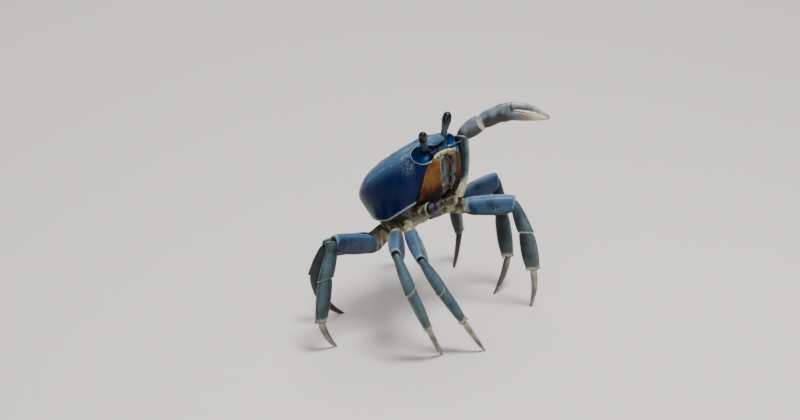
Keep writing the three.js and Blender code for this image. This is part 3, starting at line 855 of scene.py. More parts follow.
# ---------------------------------------------------------------- limb shapes
# Outlines of limb pieces: distance along, as a share of the length and in millimetres past that, and size.
OUTLINES = {
    "hip": (
        (0, -4, 0), (0, -4, 0.6), (0, -3, 0.9), (0.2, 0, 1), (0.55, 0, 0.94), (0.85, 0, 1), (1, -0.6, 1.02),
        (1, 0.3, 0.95), (1, 0.4, 0.8), (1, -0.8, 0.6), (1, -1, 0),
    ),
    "merus": (
        (0, -1.8, 0), (0, -1.7, 0.45), (0, -1, 0.74), (0, 0.6, 0.92), (0, 2.4, 1.02), (0, 6, 1.06),
        (0.3, 0, 1), (0.6, 0, 1), (0.84, 0, 0.99), (1, -3, 0.97), (1, -1.4, 0.94), (1, -0.4, 0.88),
        (1, 0.1, 0.8), (1, 0, 0.7), (1, -1.2, 0.6), (1, -1.6, 0),
    ),
    "carpus": (
        (0, -1.7, 0), (0, -1.6, 0.6), (0, -1, 0.86), (0, 0.5, 1), (0, 2.4, 1.04), (0.32, 0, 1.02),
        (0.62, 0, 1.02), (0.85, 0, 1), (1, -1.6, 1), (1, -0.6, 1.02), (1, -0.1, 0.98), (1, 0, 0.88),
        (1, -0.3, 0.76), (1, -1, 0.6), (1, -1.2, 0),
    ),
    "propodus": (
        (0, -0.9, 0), (0, -0.8, 0.6), (0, 0.1, 0.84), (0, 0.6, 0.93), (0, 1.8, 0.98), (0, 4, 1.02),
        (0.35, 0, 1.02), (0.65, 0, 1.02), (1, -3.4, 0.97), (1, -1.4, 0.98), (1, -0.4, 1), (1, 0.1, 0.93),
        (1, 0.1, 0.8), (1, -0.6, 0.66), (1, -0.9, 0),
    ),
    "dactyl": (
        (0, -1.4, 0), (0, -1.4, 0.4), (0, -0.9, 0.7), (0, 0.4, 0.9), (0, 1.6, 0.96), (0, 3.2, 1),
        (0.4, 0, 1), (0.8, 0, 1.0), (0.94, 0, 0.95), (1, 0, 0.8), (1, 0.5, 0.45), (1, 0.6, 0),
    ),
    "palm": (
        (0, -1.4, 0), (0, -1.4, 0.5), (0, -0.6, 0.8), (0, 0.8, 0.92), (0, 2.6, 0.98), (0.12, 0, 1),
        (0.25, 0, 1), (0.36, 0, 1), (0.42, 0, 1), (0.6, 0, 1), (0.8, 0, 1), (0.93, 0, 0.95),
        (0.985, 0, 0.8), (1, 0, 0.4), (1, 0.3, 0),
    ),
    "finger": (
        (0, -2.2, 0), (0, -2.1, 0.5), (0, -1.2, 0.8), (0, 0.2, 1), (0, 2, 1.04), (0.15, 0, 1), (0.4, 0, 1),
        (0.7, 0, 1), (0.9, 0, 0.97), (0.98, 0, 0.8), (1, 0.2, 0.4), (1, 0.4, 0),
    ),
    "stump": (
        (0, -5, 0), (0, -5, 0.7), (0, -3, 1), (0.3, 0, 1.02), (0.7, 0, 0.98), (1, -1.4, 0.98),
        (1, -0.4, 1.06), (1, 0.4, 1.05), (1, 0.6, 0.96), (1, 0.1, 0.84), (1, -2, 0.8), (1, -3.5, 0.75),
        (1, -3.6, 0),
    ),
    "bud": (
        (0, -3, 0), (0, -3, 0.8), (0, -1, 0.94), (0.3, 0, 1), (0.6, 0, 0.94), (0.85, 0, 0.75),
        (0.98, 0, 0.4), (1, 0.1, 0),
    ),
    "stalk": (
        (0, -3, 0), (0, -3, 1), (0, -1, 1.3), (0.12, 0, 1.25), (0.3, 0, 0.98), (0.6, 0, 0.98),
        (0.88, 0, 1.04), (1, -0.4, 1.07), (1, 0.3, 1.03), (1, 0.5, 0.8), (1, 0.2, 0),
    ),
    "eye": (
        (0, -0.6, 0), (0, -0.6, 0.85), (0.08, 0, 1.02), (0.3, 0, 1.05), (0.55, 0, 1.02), (0.78, 0, 0.95),
        (0.92, 0, 0.72), (1, -0.05, 0.35), (1, 0.15, 0),
    ),
    "feeler": (
        (0, -2, 0), (0, -2, 1), (0.05, 0, 1.6), (0.2, 0, 1.6), (0.24, 0, 1), (0.4, 0, 1.05), (0.44, 0, 0.8),
        (0.7, 0, 0.9), (0.95, 0, 0.8), (1, 0, 0),
    ),
    "palp": (
        (0, -0.8, 0), (0, -0.7, 0.8), (0, 0.6, 1.05), (0.38, 0, 0.9), (0.46, 0, 0.78), (0.52, 0, 0.98),
        (0.8, 0, 0.9), (0.96, 0, 0.6), (1, 0.1, 0),
    ),
}
# A limb piece's map repeats every so many millimetres, round a piece of about this girth.
MAP_TILE = 20
MAP_GIRTH = math.pi * 10
# Where along a piece its ends get painted shade if they are drawn in, as where they go into a joint, and the
# sizes between which the painted shade deepens.
START_ZONE = 0.06
END_ZONE = 0.95
DRAWN_IN_SHADE = (0.88, 0.78)
# The far end's own rim is this size, and gets no painted shade.
RIM_SIZE = 0.95


def limb_mesh(outline, length, heights, thicknesses, bow=0, sway=0, tilts=(0, 0), slants=(0, 0),
              around=28, along=44, keel=1.75, belly=2.9, flutes=0.0, hollow=0.0, tints=plain_tints):
    """A limb piece along +X from its own joint, with its back at +Y. The outline gives its ends.

    Keel and belly are the powers of its section above and below: 2 is round, and more is squarer.
    """
    bm = sphere(around, along)
    uv = bm.loops.layers.uv.active
    layers = [layer(bm, name) for name in MARKS]
    points = [(share * length + more, size) for share, more, size in outline]
    stations = [curve_at(points, k / along) for k in range(along + 1)]
    for v in bm.verts:
        x, size = stations[round(math.acos(max(-1, min(1, -v.co.x))) / math.pi * along)]
        angle = math.atan2(v.co.y, v.co.z)
        u = min(1, max(0, x / length))
        up, out = math.sin(angle), math.cos(angle)
        power = 2 / (keel if up > 0 else belly)
        pinch = hollow * ridge(up, 0.45) * smooth(0, 0.15, u) * smooth(1, 0.85, u)
        y = through(heights, u) * size * signed_power(up, power)
        z = through(thicknesses, u) * size * signed_power(out, power) * (1 - pinch)
        if flutes:
            swell = 1 + flutes * math.cos(6 * angle) * smooth(0.03, 0.15, u)
            y, z = y * swell, z * swell
        near_start, near_end = smooth(0.45, 0, u), smooth(0.55, 1, u)
        moved = x + (y * tilts[0] + z * slants[0]) * near_start + (y * tilts[1] + z * slants[1]) * near_end
        arc = 4 * u * (1 - u)
        v.co = Vector((moved, y + bow * arc, z + sway * arc))
        values = tints(x, length, up, out)
        # Painted shade on the drawn-in ends, where a piece goes into its joint.
        if u < START_ZONE or u > END_ZONE:
            full = RIM_SIZE if u > END_ZONE else 1
            values[DARK] = max(values[DARK], smooth(*DRAWN_IN_SHADE, size / full))
        set_marks(v, layers, values)
    for face in bm.faces:
        for loop in face.loops:
            across, lengthways = loop[uv].uv
            loop[uv].uv = (across * MAP_GIRTH / MAP_TILE, lengthways * length / MAP_TILE)
    return bm


def ball_joint(bm, radii):
    """A soft joint skin: a folded ball that fills the room between two limb pieces."""
    ball = sphere(20, 16)
    dark = layer(ball, "dark")
    for v in ball.verts:
        folds = 1 + 0.05 * math.cos(v.co.x * 14)
        v.co = Vector((v.co.x * radii[0], v.co.y * radii[1] * folds, v.co.z * radii[2] * folds))
        v[dark] = 0.75
    join(bm, ball)


def add_spike(bm, foot, direction, radius, height, mark="dark", sides=5):
    """A small cone for a spine, a bristle or a tooth, sunk a little at its foot."""
    made = bmesh.ops.create_cone(
        bm, cap_ends=True, segments=sides, radius1=radius, radius2=radius * 0.12, depth=height
    )
    heading = direction.normalized()
    turn = UP.rotation_difference(heading).to_matrix().to_4x4()
    place = Matrix.Translation(foot + heading * height * 0.42) @ turn
    bmesh.ops.transform(bm, matrix=place, verts=made["verts"])
    shade = layer(bm, mark)
    for v in made["verts"]:
        v[shade] = 1


# ---------------------------------------------------------------- walking legs
# How round or square each piece is above and below, and how far it is hollowed, fluted and bowed.
LEG_SECTIONS = {
    "hip": {"keel": 2.4, "belly": 2.4, "hollow": 0.05},
    "merus": {"keel": 2.7, "belly": 3, "hollow": 0.1},
    "carpus": {"keel": 1.8, "belly": 3, "hollow": 0.05},
    "propodus": {"keel": 1.8, "belly": 3, "hollow": 0.05},
    "dactyl": {"keel": 2, "belly": 2, "hollow": 0.05, "flutes": 0.09, "bow": DACTYL_BOW},
}
# Material and slot of each piece.
LEG_FINISHES = {
    "hip": ("cream", "cream_shell"),
    "merus": ("leg", "leg_shell"),
    "carpus": ("shin", "leg_shell"),
    "propodus": ("shin", "leg_shell"),
    "dactyl": ("foot", "foot_shell"),
}
# The end of each of these that meets the other, 0 for its start and 1 for its far end.
WRIST_ENDS = {"carpus": 1, "propodus": 0}
# How many bristles fringe the far end of each of these.
BRISTLES = {"carpus": 8, "propodus": 26}
BRISTLE_RADIUS = 0.24
# The spines stand in rows down the ridges of a leg's tip.
SPINE_RADIUS = 0.32
SPINE_ROWS = 6
SPINES_IN_ROW = 9


def leg_joints(side_name, number):
    """The frame of a leg, with each piece's joint, slope and length within it."""
    side = SIDES[side_name]
    yaw, lean, *below = LEG_POSES[side_name, number]
    lengths = LEG_LENGTHS[number]
    hip = from_body(HIPS[number], side)
    outward = Matrix.Rotation(-side * radians(yaw), 3, "Z") @ Vector((side, 0, 0))
    plane_up = Matrix.Rotation(-side * radians(lean), 3, outward) @ UP
    slopes = [-radians(slope) for slope in below]
    fall = sum(length * math.sin(slope) for length, slope in zip(lengths[2:], slopes))
    climb = -(hip.z + FOOT_SINK) / plane_up.z - fall
    if (side_name, number) in HIP_SLOPES:
        first = -radians(HIP_SLOPES[side_name, number])
        merus = math.asin((climb - lengths[0] * math.sin(first)) / lengths[1])
    else:
        first = merus = math.asin(climb / (lengths[0] + lengths[1]))
    joint, rows = Vector((0, 0, 0)), []
    for length, slope in zip(lengths, (first, merus, *slopes)):
        rows.append((joint.copy(), slope, length))
        joint += Vector((math.cos(slope), math.sin(slope), 0)) * length
    return frame_along(hip, outward, plane_up), rows


def joint_planes(part, bends, side_name):
    """How far the two ends of a leg piece are cut aslant, along its height and along its thickness."""
    start, end = (math.tan(max(-MOST_BEND, min(MOST_BEND, bend / 2))) for bend in bends)
    tilts, slants = [start, -end], [0, 0]
    if part in WRIST_ENDS:
        tilts[WRIST_ENDS[part]] += WRIST_SLANT[0]
        slants[WRIST_ENDS[part]] = -SIDES[side_name] * WRIST_SLANT[1]
    return ((0, 0) if part == "dactyl" else tilts), slants


def shade_leg(bm, part, leg):
    """Rubs and greys a piece as its own leg is, and gives it its leg's painted sunlight and painted shade."""
    light, dark, inner, worn = (layer(bm, name) for name in ("light", "dark", "inner", "worn"))
    for v in bm.verts:
        if leg in WORN_AND_SUNLIT_LEGS:
            v[worn] = min(1, v[worn] * WORN_AND_SUNLIT_LEGS[leg])
            # Painted sunlight: the whole leg is made lighter.
            v[light] = min(1, v[light] + PAINTED_SUNLIGHT)
        if part == "merus":
            v[inner] = max(v[inner], GREY_LEGS.get(leg, 0))
        # Painted shade: legs that stand in shadow are darker all over.
        v[dark] = max(min(v[dark], FOLD_SHADE), SHADED_LEGS.get(leg, 0))


def build_leg(side_name, number, materials, limb):
    """The five pieces of one walking leg, each with the joint skin at its root."""
    leg_frame, rows = leg_joints(side_name, number)
    draw = random.Random(f"{side_name}{number}")
    slopes = [slope for _, slope, _ in rows]
    for i, (part, (joint, slope, length)) in enumerate(zip(LEG_PARTS, rows)):
        bends = (slope - slopes[i - 1] if i else 0, slopes[i + 1] - slope if i < 4 else 0)
        tilts, slants = joint_planes(part, bends, side_name)
        heights, thicknesses = LEG_HEIGHTS[i], LEG_THICKNESSES[i]
        bm = limb_mesh(OUTLINES[part], length, heights, thicknesses, tilts=tilts, slants=slants,
                       around=36, along=52, tints=TINTS[part], **LEG_SECTIONS[part])
        if i:
            high = min(LEG_HEIGHTS[i - 1][2], heights[0]) * 0.8
            thick = min(LEG_THICKNESSES[i - 1][2], thicknesses[0]) * 0.8
            ball_joint(bm, (high * 0.8, high, thick))
        if part == "dactyl":
            add_leg_spines(bm, length, limb["spine"], draw)
        shade_leg(bm, part, (side_name, number))
        if part in BRISTLES:
            add_bristles(bm, length, heights[2], thicknesses[2], limb["bristle"], draw, BRISTLES[part])
        place = leg_frame @ Matrix.Translation(joint) @ Matrix.Rotation(slope, 4, "Z")
        material, slot = LEG_FINISHES[part]
        node = f"leg_{side_name}_{number}_{part}"
        finish_piece(bm, f"{part}_{side_name}_{number}", materials[material], [node], place)


def add_leg_spines(bm, length, size, draw):
    """Rows of dark spines down the ridges of a leg's tip."""
    for row in range(SPINE_ROWS):
        angle = radians(360 / SPINE_ROWS * row)
        up, out = math.sin(angle), math.cos(angle)
        for k in range(SPINES_IN_ROW):
            u = 0.1 + 0.78 * (k + 0.5 * (row % 2) + draw.uniform(-0.15, 0.15)) / SPINES_IN_ROW
            high, thick = through(LEG_HEIGHTS[4], u), through(LEG_THICKNESSES[4], u)
            foot = Vector((u * length, high * up + bow_at(u, DACTYL_BOW), thick * out))
            add_spike(bm, foot, Vector((0.35, up, out)), SPINE_RADIUS, size * draw.uniform(0.8, 1.2))


def add_bristles(bm, length, high, thick, size, draw, count):
    """A fringe of dark bristles round the far end of a piece."""
    for k in range(count):
        angle = 2 * math.pi * (k + draw.uniform(-0.4, 0.4)) / count
        up, out = math.sin(angle), math.cos(angle)
        foot = Vector((length + draw.uniform(-0.9, 0.3), high * up * 0.98, thick * out * 0.98))
        aim = Vector((1.6, up + draw.uniform(-0.3, 0.3), out + draw.uniform(-0.3, 0.3)))
        add_spike(bm, foot, aim, BRISTLE_RADIUS, size * draw.uniform(0.4, 0.8), sides=4)


# ---------------------------------------------------------------- down
DOWN_PER_SQUARE_MM = 9
DOWN_LENGTH = 1.7
# Radius of a tuft at its foot and at its tip. Real hairs are finer, too fine to show.
TUFT_RADII = (0.09, 0.012)
TUFTS_IN_BATCH = 60
# The down's map is a front view of the face: its width and height, where its middle lies, and how far each
# tuft is spread out on it.
DOWN_MAP_SIZE = (110, 80)
DOWN_MAP_MIDDLE = (0.5, 0.7)
DOWN_MAP_SPREAD = 0.0009


def spot(point):
    """A point to the nearest hundredth, to sort by: mesh operators may number faces differently each time."""
    return tuple(round(part, 2) for part in point)


def down_roots(bm, seed):
    """Where tufts stand: the corners of their face, its normal, the share of each corner, and the draw."""
    bm.faces.ensure_lookup_table()
    bm.faces.index_update()
    roots = []
    for place, index in sorted((spot(face.calc_center_median()), face.index) for face in bm.faces):
        face = bm.faces[index]
        corners = sorted(face.verts, key=lambda v: spot(v.co))
        draw = random.Random(f"{seed}{place}")
        hairs = face.calc_area() * DOWN_PER_SQUARE_MM
        for _ in range(int(hairs) + (draw.random() < hairs % 1)):
            weights = [draw.random() for _ in corners]
            roots.append((corners, face.normal, [w / sum(weights) for w in weights], draw))
    return roots


def down_on(bm, seed):
    """Short down on a plate of the skin: tufts that lie along it, each with the plate's own marks."""
    plate_layers = [bm.verts.layers.float[name] for name in MARKS]
    roots = down_roots(bm, seed)
    down = bmesh.new()
    for start in range(0, len(roots), TUFTS_IN_BATCH):
        batch = bmesh.new()
        layers = [layer(batch, name) for name in MARKS]
        bake = batch.loops.layers.uv.new("OFBake")
        for corners, normal, weights, draw in roots[start : start + TUFTS_IN_BATCH]:
            values = [sum(v[shade] * w for v, w in zip(corners, weights)) for shade in plate_layers]
            values[LIGHT] += draw.uniform(-0.25, 0.3)
            root = sum((v.co * w for v, w in zip(corners, weights)), Vector())
            for v in add_tuft(batch, root, normal, DOWN_LENGTH * draw.uniform(0.6, 1.2), draw):
                set_marks(v, layers, values)
                for corner in v.link_loops:
                    near = (v.co - root) * DOWN_MAP_SPREAD
                    corner[bake].uv = (
                        DOWN_MAP_MIDDLE[0] + root.x / DOWN_MAP_SIZE[0] + near.x,
                        DOWN_MAP_MIDDLE[1] + root.z / DOWN_MAP_SIZE[1] + near.z,
                    )
        join(down, batch)
    return down


def add_tuft(batch, root, normal, length, draw):
    """One tuft of down, rooted on the skin and lying backwards along it."""
    lie = Vector((draw.gauss(0, 0.25), 0.25, -1))
    flat = (lie - normal * lie.dot(normal)).normalized()
    tall = (flat + normal * draw.uniform(0.12, 0.4)).normalized()
    foot, tip = TUFT_RADII
    made = bmesh.ops.create_cone(
        batch, cap_ends=False, segments=3, radius1=foot, radius2=tip, depth=length
    )
    turn = UP.rotation_difference(tall).to_matrix().to_4x4()
    place = Matrix.Translation(root + tall * length * 0.35) @ turn
    bmesh.ops.transform(batch, matrix=place, verts=made["verts"])
    return made["verts"]


# ---------------------------------------------------------------- materials
def add(tree, kind, links=None, **settings):
    """Adds a node with its settings; links give each input a value or another node's output."""
    made = tree.nodes.new(kind)
    for name, value in settings.items():
        setattr(made, name, value)
    for name, value in (links or {}).items():
        if isinstance(value, bpy.types.NodeSocket):
            tree.links.new(value, made.inputs[name])
        else:
            made.inputs[name].default_value = value
    return made


# Width of the fine scuffs on rubbed shell, and depths of the grain and of the pits in it, in millimetres.
SCUFF = 0.6
GRAIN_DEPTH = 0.35
PIT_DEPTH = 0.25
# Colours that darken shell in broad clouds and in fine speckles, and the colour of its scuffs.
CLOUD_SHADE = "#8f9aa6"
SPECKLE_SHADE = "#b9c0c4"
SCUFF_COLOUR = "#c8d6e2"


def shell_material(name, base, light, pale, dark, roughness=0.35, mottle=0.25, grain=1.3, bump=0.25,
                   fade=9, worn=0.0, inner="#0c3566", coat=0.0, specular=0.4):
    """Calcified cuticle: layered and waxy, so it is glossy where smooth and mottled through its depth.

    Grain is the width of its finest mottling and fade that of its broad clouds, in millimetres.
    """
    base, light, pale, dark, inner = (colour_of(value) for value in (base, light, pale, dark, inner))
    material = bpy.data.materials.new(name)
    material.use_nodes = True
    tree = material.node_tree
    shader = tree.nodes["Principled BSDF"]
    place = add(tree, "ShaderNodeTexCoord").outputs["Object"]

    def noise_of(width, detail, **more):
        size = {"Vector": place, "Scale": 1 / (width * MM), "Detail": detail, **more}
        return add(tree, "ShaderNodeTexNoise", size).outputs["Fac"]

    def blend(factor, a, b, kind="MIX"):
        mix = add(tree, "ShaderNodeMix", {0: factor, 6: a, 7: b}, data_type="RGBA", blend_type=kind)
        return mix.outputs[2]

    def spread(value, low, high, start=0.0, end=1.0):
        ends = {"Value": value, "From Min": low, "From Max": high, "To Min": start, "To Max": end}
        return add(tree, "ShaderNodeMapRange", ends).outputs["Result"]

    def both(a, b, operation="MULTIPLY"):
        return add(tree, "ShaderNodeMath", {0: a, 1: b}, operation=operation, use_clamp=True).outputs[0]

    def darkened(factor, tint, by):
        return blend(factor, tint, blend(1.0, tint, colour(by), "MULTIPLY"))

    broad = noise_of(fade, 3.0)
    scuffs = noise_of(SCUFF, 4.0)
    fine = noise_of(grain, 4.0, Roughness=0.6)
    pits = add(tree, "ShaderNodeTexVoronoi", {"Vector": place, "Scale": 1 / (grain * 1.4 * MM)})
    mark = {key: add(tree, "ShaderNodeAttribute", attribute_name=key).outputs["Fac"] for key in MARKS}
    clouds = spread(broad, 0.35, 0.68)
    speckle = spread(fine, 0.3, 0.7)

    # The light mark turns the base colour towards the light one. On most pieces that is painted light on
    # their upper sides.
    tint = blend(both(mark["light"], both(clouds, 0.5, "SUBTRACT"), "SUBTRACT"), base, light)
    tint = blend(mark["inner"], tint, inner)
    tint = darkened(both(clouds, mottle), tint, CLOUD_SHADE)
    tint = darkened(both(speckle, mottle * 0.8), tint, SPECKLE_SHADE)
    if worn:
        flecks = both(spread(scuffs, 0.5, 0.64), both(mark["worn"], worn))
        tint = blend(flecks, tint, colour(SCUFF_COLOUR))
    ragged = both(mark["pale"], both(spread(fine, 0.3, 0.75), 0.28), "SUBTRACT")
    tint = blend(spread(ragged, 0.1, 0.7), tint, pale)
    # The dark mark: dark joints, spines and tips, and painted shade below pieces and in grooves and gaps.
    tint = blend(mark["dark"], tint, dark)
    tree.links.new(tint, shader.inputs["Base Color"])

    gloss = spread(both(speckle, clouds), 0.0, 1.0, roughness - 0.08, roughness + 0.16)
    tree.links.new(gloss, shader.inputs["Roughness"])
    shader.inputs["Specular IOR Level"].default_value = specular
    shader.inputs["Coat Weight"].default_value = coat
    shader.inputs["Coat Roughness"].default_value = 0.22
    low = add(tree, "ShaderNodeBump", {"Height": pits.outputs["Distance"], "Strength": bump * 0.6,
                                      "Distance": PIT_DEPTH * MM})
    high = add(tree, "ShaderNodeBump", {"Height": fine, "Strength": bump, "Distance": GRAIN_DEPTH * MM,
                                       "Normal": low.outputs["Normal"]})
    tree.links.new(high.outputs["Normal"], shader.inputs["Normal"])
    return material


def all_materials(tints):
    """Each finish: its name, its base, light, pale and dark colours, and how its surface is. The light colour
    mostly stands for painted light and the dark one for painted shade.
    """
    brown = "#2b2118"
    finishes = {
        # A waxy, polished shell: deep colour under a soft shine, with lighter scuffs on the back. Its light
        # colour is painted light on the back, and its dark colour painted shade under the brow.
        "shell": ("Cuticle waxy blue", tints.flank, tints.back, "#96a9b0", "#050b16",
                  {"roughness": 0.34, "mottle": 0.3, "worn": 0.34, "specular": 0.1}),
        # Harder, drier cuticle of the upper legs, worn to white specks where they rub; its light colour is
        # painted light on their upper sides and its dark colour painted shade below.
        "leg": ("Cuticle leg blue", "#0a2446", tints.leg, "#8b9f9c", "#151a20",
                {"roughness": 0.36, "mottle": 0.35, "worn": 0.9, "inner": "#5a6670", "specular": 0.25}),
        # The lower legs turn from slate to a greenish grey, cream at their ends, lighter above and darker
        # below as painted light and shade.
        "shin": ("Cuticle slate", "#101e27", "#465963", "#b9b896", "#14181a",
                 {"roughness": 0.4, "mottle": 0.5, "worn": 0.7, "inner": "#42564f", "specular": 0.25}),
        # The horny tips of the legs: dry and dull, stained by the ground.
        "foot": ("Cuticle leg tip", "#5d6154", "#b0a894", "#c0b598", brown,
                 {"roughness": 0.55, "mottle": 0.6}),
        # Unpigmented cuticle: matte, dirty cream, with the blue showing through it in blotches; its dark
        # brown is partly real stains and partly painted shade under the plates and in grooves.
        "cream": ("Cuticle cream", tints.cream, "#9b9070", "#bcb189", brown,
                  {"roughness": 0.5, "mottle": 0.9, "inner": "#1d2638"}),
        # Thick, chalky cuticle: the brightest of the pale parts, darker low on its ledge.
        "band": ("Cuticle yellow cream", "#8a8158", "#b3ab7c", "#d0cba4", "#3a2a1a",
                 {"roughness": 0.5, "mottle": 0.5}),
        # The claw's thick shell: grey blue over brown, which is painted light above and painted shade below,
        # with a dull shine.
        "claw": ("Cuticle claw", "#2d2620", tints.claw, "#bdb79c", "#17120e",
                 {"roughness": 0.34, "mottle": 0.5, "worn": 0.35, "inner": "#a88a62"}),
        # The finger's outer side is bleached to a blue white, over a darker lower edge of painted shade, and
        # its tip is brown.
        "finger": ("Cuticle finger", "#5a5d5c", "#a4adb1", "#cfd1c2", "#1b1713",
                   {"roughness": 0.34, "mottle": 0.4, "worn": 0.3, "inner": "#6d5138"}),
        # Thin cuticle under short down: dull, with no shine of its own.
        "rust": ("Downy cuticle rust", tints.rust, "#8a6034", "#8f6c44", "#1e1a17",
                 {"roughness": 0.8, "mottle": 0.8, "grain": 0.8, "bump": 0.9, "inner": "#7b3f33",
                  "specular": 0.15}),
        # Short stiff hairs: dull, each a little lighter or darker than the next.
        "down": ("Down rust", tints.rust, "#a0713f", "#a37f55", "#24201d",
                 {"roughness": 0.7, "mottle": 0.5, "grain": 0.8, "bump": 0.1, "specular": 0.2}),
        # The thin plates over the mouth: grey green with pale edges, stained by food, with painted shade in
        # the furrows between them.
        "mouth": ("Cuticle mouth plate", "#1f2b28", "#4a5c59", "#b5b08e", "#140d0a",
                  {"roughness": 0.45, "mottle": 0.7, "inner": "#8a4f22"}),
        # A wet, clear surface over black.
        "eye": ("Cornea", tints.eye, "#2f463d", "#46564a", "#050606",
                {"roughness": 0.3, "mottle": 0.1, "bump": 0.02, "coat": 0.15, "specular": 0.3}),
        # Soft, creased skin stretched over a folded new limb.
        "bud": ("Limb bud skin", "#0e0d1c", "#2a2a40", "#5c5560", "#07060b",
                {"roughness": 0.45, "mottle": 0.6, "grain": 1.8, "bump": 0.6}),
    }
    return {key: shell_material(*shades, **surface) for key, (*shades, surface) in finishes.items()}


# Filled by the first operator that needs them.
MATERIALS = {}
SKINS = {}


def materials_of(context):
    """The finishes, made once from the colour settings."""
    if not MATERIALS:
        MATERIALS.update(all_materials(context.scene.crab_colours))
    return MATERIALS


def sizes_of(settings):
    """Each length of a group of settings, in millimetres."""
    return {name: getattr(settings, name) / MM for name in settings.__annotations__}


def body_of(context):
    """Sizes of the body in millimetres, with its skin, made once."""
    if not SKINS:
        SKINS.update(sizes_of(context.scene.crab_body))
        SKINS["skin"] = body_mesh(SKINS)
    return SKINS


# ---------------------------------------------------------------- relief of the face and the underside
# How dark the left cheek is all over: a painted shadow, as under the raised arm.
LEFT_CHEEK_SHADE = 0.55
# Width of the strip at the outer side of a mouthpart.
MOUTH_STRIP = 2.1
# Where the grooves of the breast and of the abdomen lie, along the body.
BREAST_GROOVES = (-2.5, 7.5, 16.25, 24.25)
ABDOMEN_GROOVES = (8, 12.5, 17, 21.5, 25.5, 29)


def cheek_relief(p):
    """A low swelling in streaks, lighter at the top and darker downwards as painted light and shade, and
    darker on the left as a painted shadow.
    """
    height = smooth(-26, -9, p.z)
    streaks = noise.noise(Vector((p.x * 0.9, p.y * 0.25, p.z * 0.25)))
    dark = smooth(0.42, 0.05, height + 0.35 * streaks)
    rise = 0.9 * smooth(0, 4, inside_cheek(p)) + 0.25 * streaks
    return rise, marks(
        pale=0.25 * smooth(1, 0.3, inside_cheek(p)),
        light=height + 0.3 * streaks,
        dark=max(dark, LEFT_CHEEK_SHADE) if p.x > 0 else dark,
    )


def epistome_relief(p):
    """A knobbed ledge, darker below its top, where it also sinks."""
    knobs = noise.noise(Vector((p.x * 0.55, 0, p.z * 0.7)))
    below_top = epistome_top(abs(p.x)) - p.z
    stain = smooth(0.8, 2.0, below_top + 2.2 * knobs)
    rise = 0.7 * ridge(below_top - 0.8, 0.9) + 0.9 * knobs - 0.7 * stain
    return rise, marks(pale=0.75 + 0.9 * knobs, light=1, dark=0.85 * stain)


def mouth_joint(p):
    """Distance above the line where the upper mouth plate meets the long lower one."""
    return p.z - p.y * 0.3 + 9 + 0.25 * (abs(p.x) - 5)


def mouth_gape(p):
    """Half the gap between the two mouthparts, which is wider at the top."""
    return 0.7 + 2.6 * smooth(-3, 5, mouth_joint(p))


def mouth_relief(p):
    """Two plates and a narrow outer strip, with a furrow between them and pale edges. The furrow and the
    split between the plates are dark with painted shade.
    """
    x, joint = abs(p.x), mouth_joint(p)
    half = mouth_half_width(p.y)
    strip = half - MOUTH_STRIP
    lines = max(0.25 * ridge(x - strip + 0.7, 0.6), 0.35 * ridge(x - mouth_gape(p) - 0.4, 0.5))
    split, furrow = ridge(joint, 0.45), ridge(x - strip, 0.45)
    rise = 0.4 * lines - 1.0 * furrow - 0.7 * split - 0.45 * ridge(x - half * 0.45, 1.4)
    return rise, marks(
        pale=max(lines, 0.6 * smooth(1.0, 0.3, inside_mouth(p)), 0.4 * ridge(joint - 0.8, 0.5)),
        light=0.8 * smooth(0, 6, x) * (0.55 + 0.45 * smooth(-0.5, 0.5, joint)),
        dark=max(furrow, split),
    )


def breast_field(p):
    """Above 0 on the underside, and a little way in under the carapace and the face."""
    return max(4 - above_suture(p), inside_face(p) + 2)


def breast_relief(p, under):
    """The breast with its grooves and stains. Where other plates cover it, it lies lower by under. Beside its
    stains it is dark with painted shade under the carapace's edge, under the other plates and in its grooves.
    """
    x, edge, face = abs(p.x), above_suture(p), inside_face(p)
    hidden = max(smooth(-0.6, 0.2, edge), smooth(-0.4, 0.4, inside_abdomen(p)), smooth(-1, 0, face))
    shade = smooth(-9, -2, edge) * smooth(8, 14, x)
    rise = -under * hidden - 2.2 * shade * (1 - hidden)
    stains = 0.8 * smooth(0.1, 0.4, noise.noise(p * 0.16))
    dark = 0.95 * max(smooth(0, 0.6, edge), shade, smooth(-1, 0, face), stains)
    if hidden < 1:
        for station in BREAST_GROOVES:
            groove = ridge(p.y - station + 0.12 * (x - 8), 0.55) * smooth(3, 7, x)
            rise -= 0.8 * groove
            dark = max(dark, 0.5 * groove)
    return rise, marks(pale=0.2, light=smooth(-10, 20, p.y), dark=dark)


def abdomen_relief(p):
    """A flat fold with a groove between one plate and the next, dark with painted shade."""
    rise, dark = 0.5 * smooth(0, 3, inside_abdomen(p)), 0
    for station in ABDOMEN_GROOVES:
        groove = ridge(p.y - station, 0.45)
        rise -= 0.5 * groove
        dark = max(dark, 0.6 * groove)
    return rise, marks(pale=0.4, light=0.5, dark=dark)


# ---------------------------------------------------------------- operators
class CRAB_OT_carapace(bpy.types.Operator):
    """Builds the carapace with its orbits, furrows and side ridges."""

    bl_idname = "crab.carapace"
    bl_label = "Carapace"

    def execute(self, context):
        body, shell = body_of(context), materials_of(context)["shell"]
        bm = skin_patch(
            body, lambda p: min(above_suture(p) - GAP / 2, -inside_face(p) - GAP), carapace_relief
        )
        finish_piece(bm, "carapace_shell", shell, ["carapace"], wall=body["wall"])
        return {"FINISHED"}


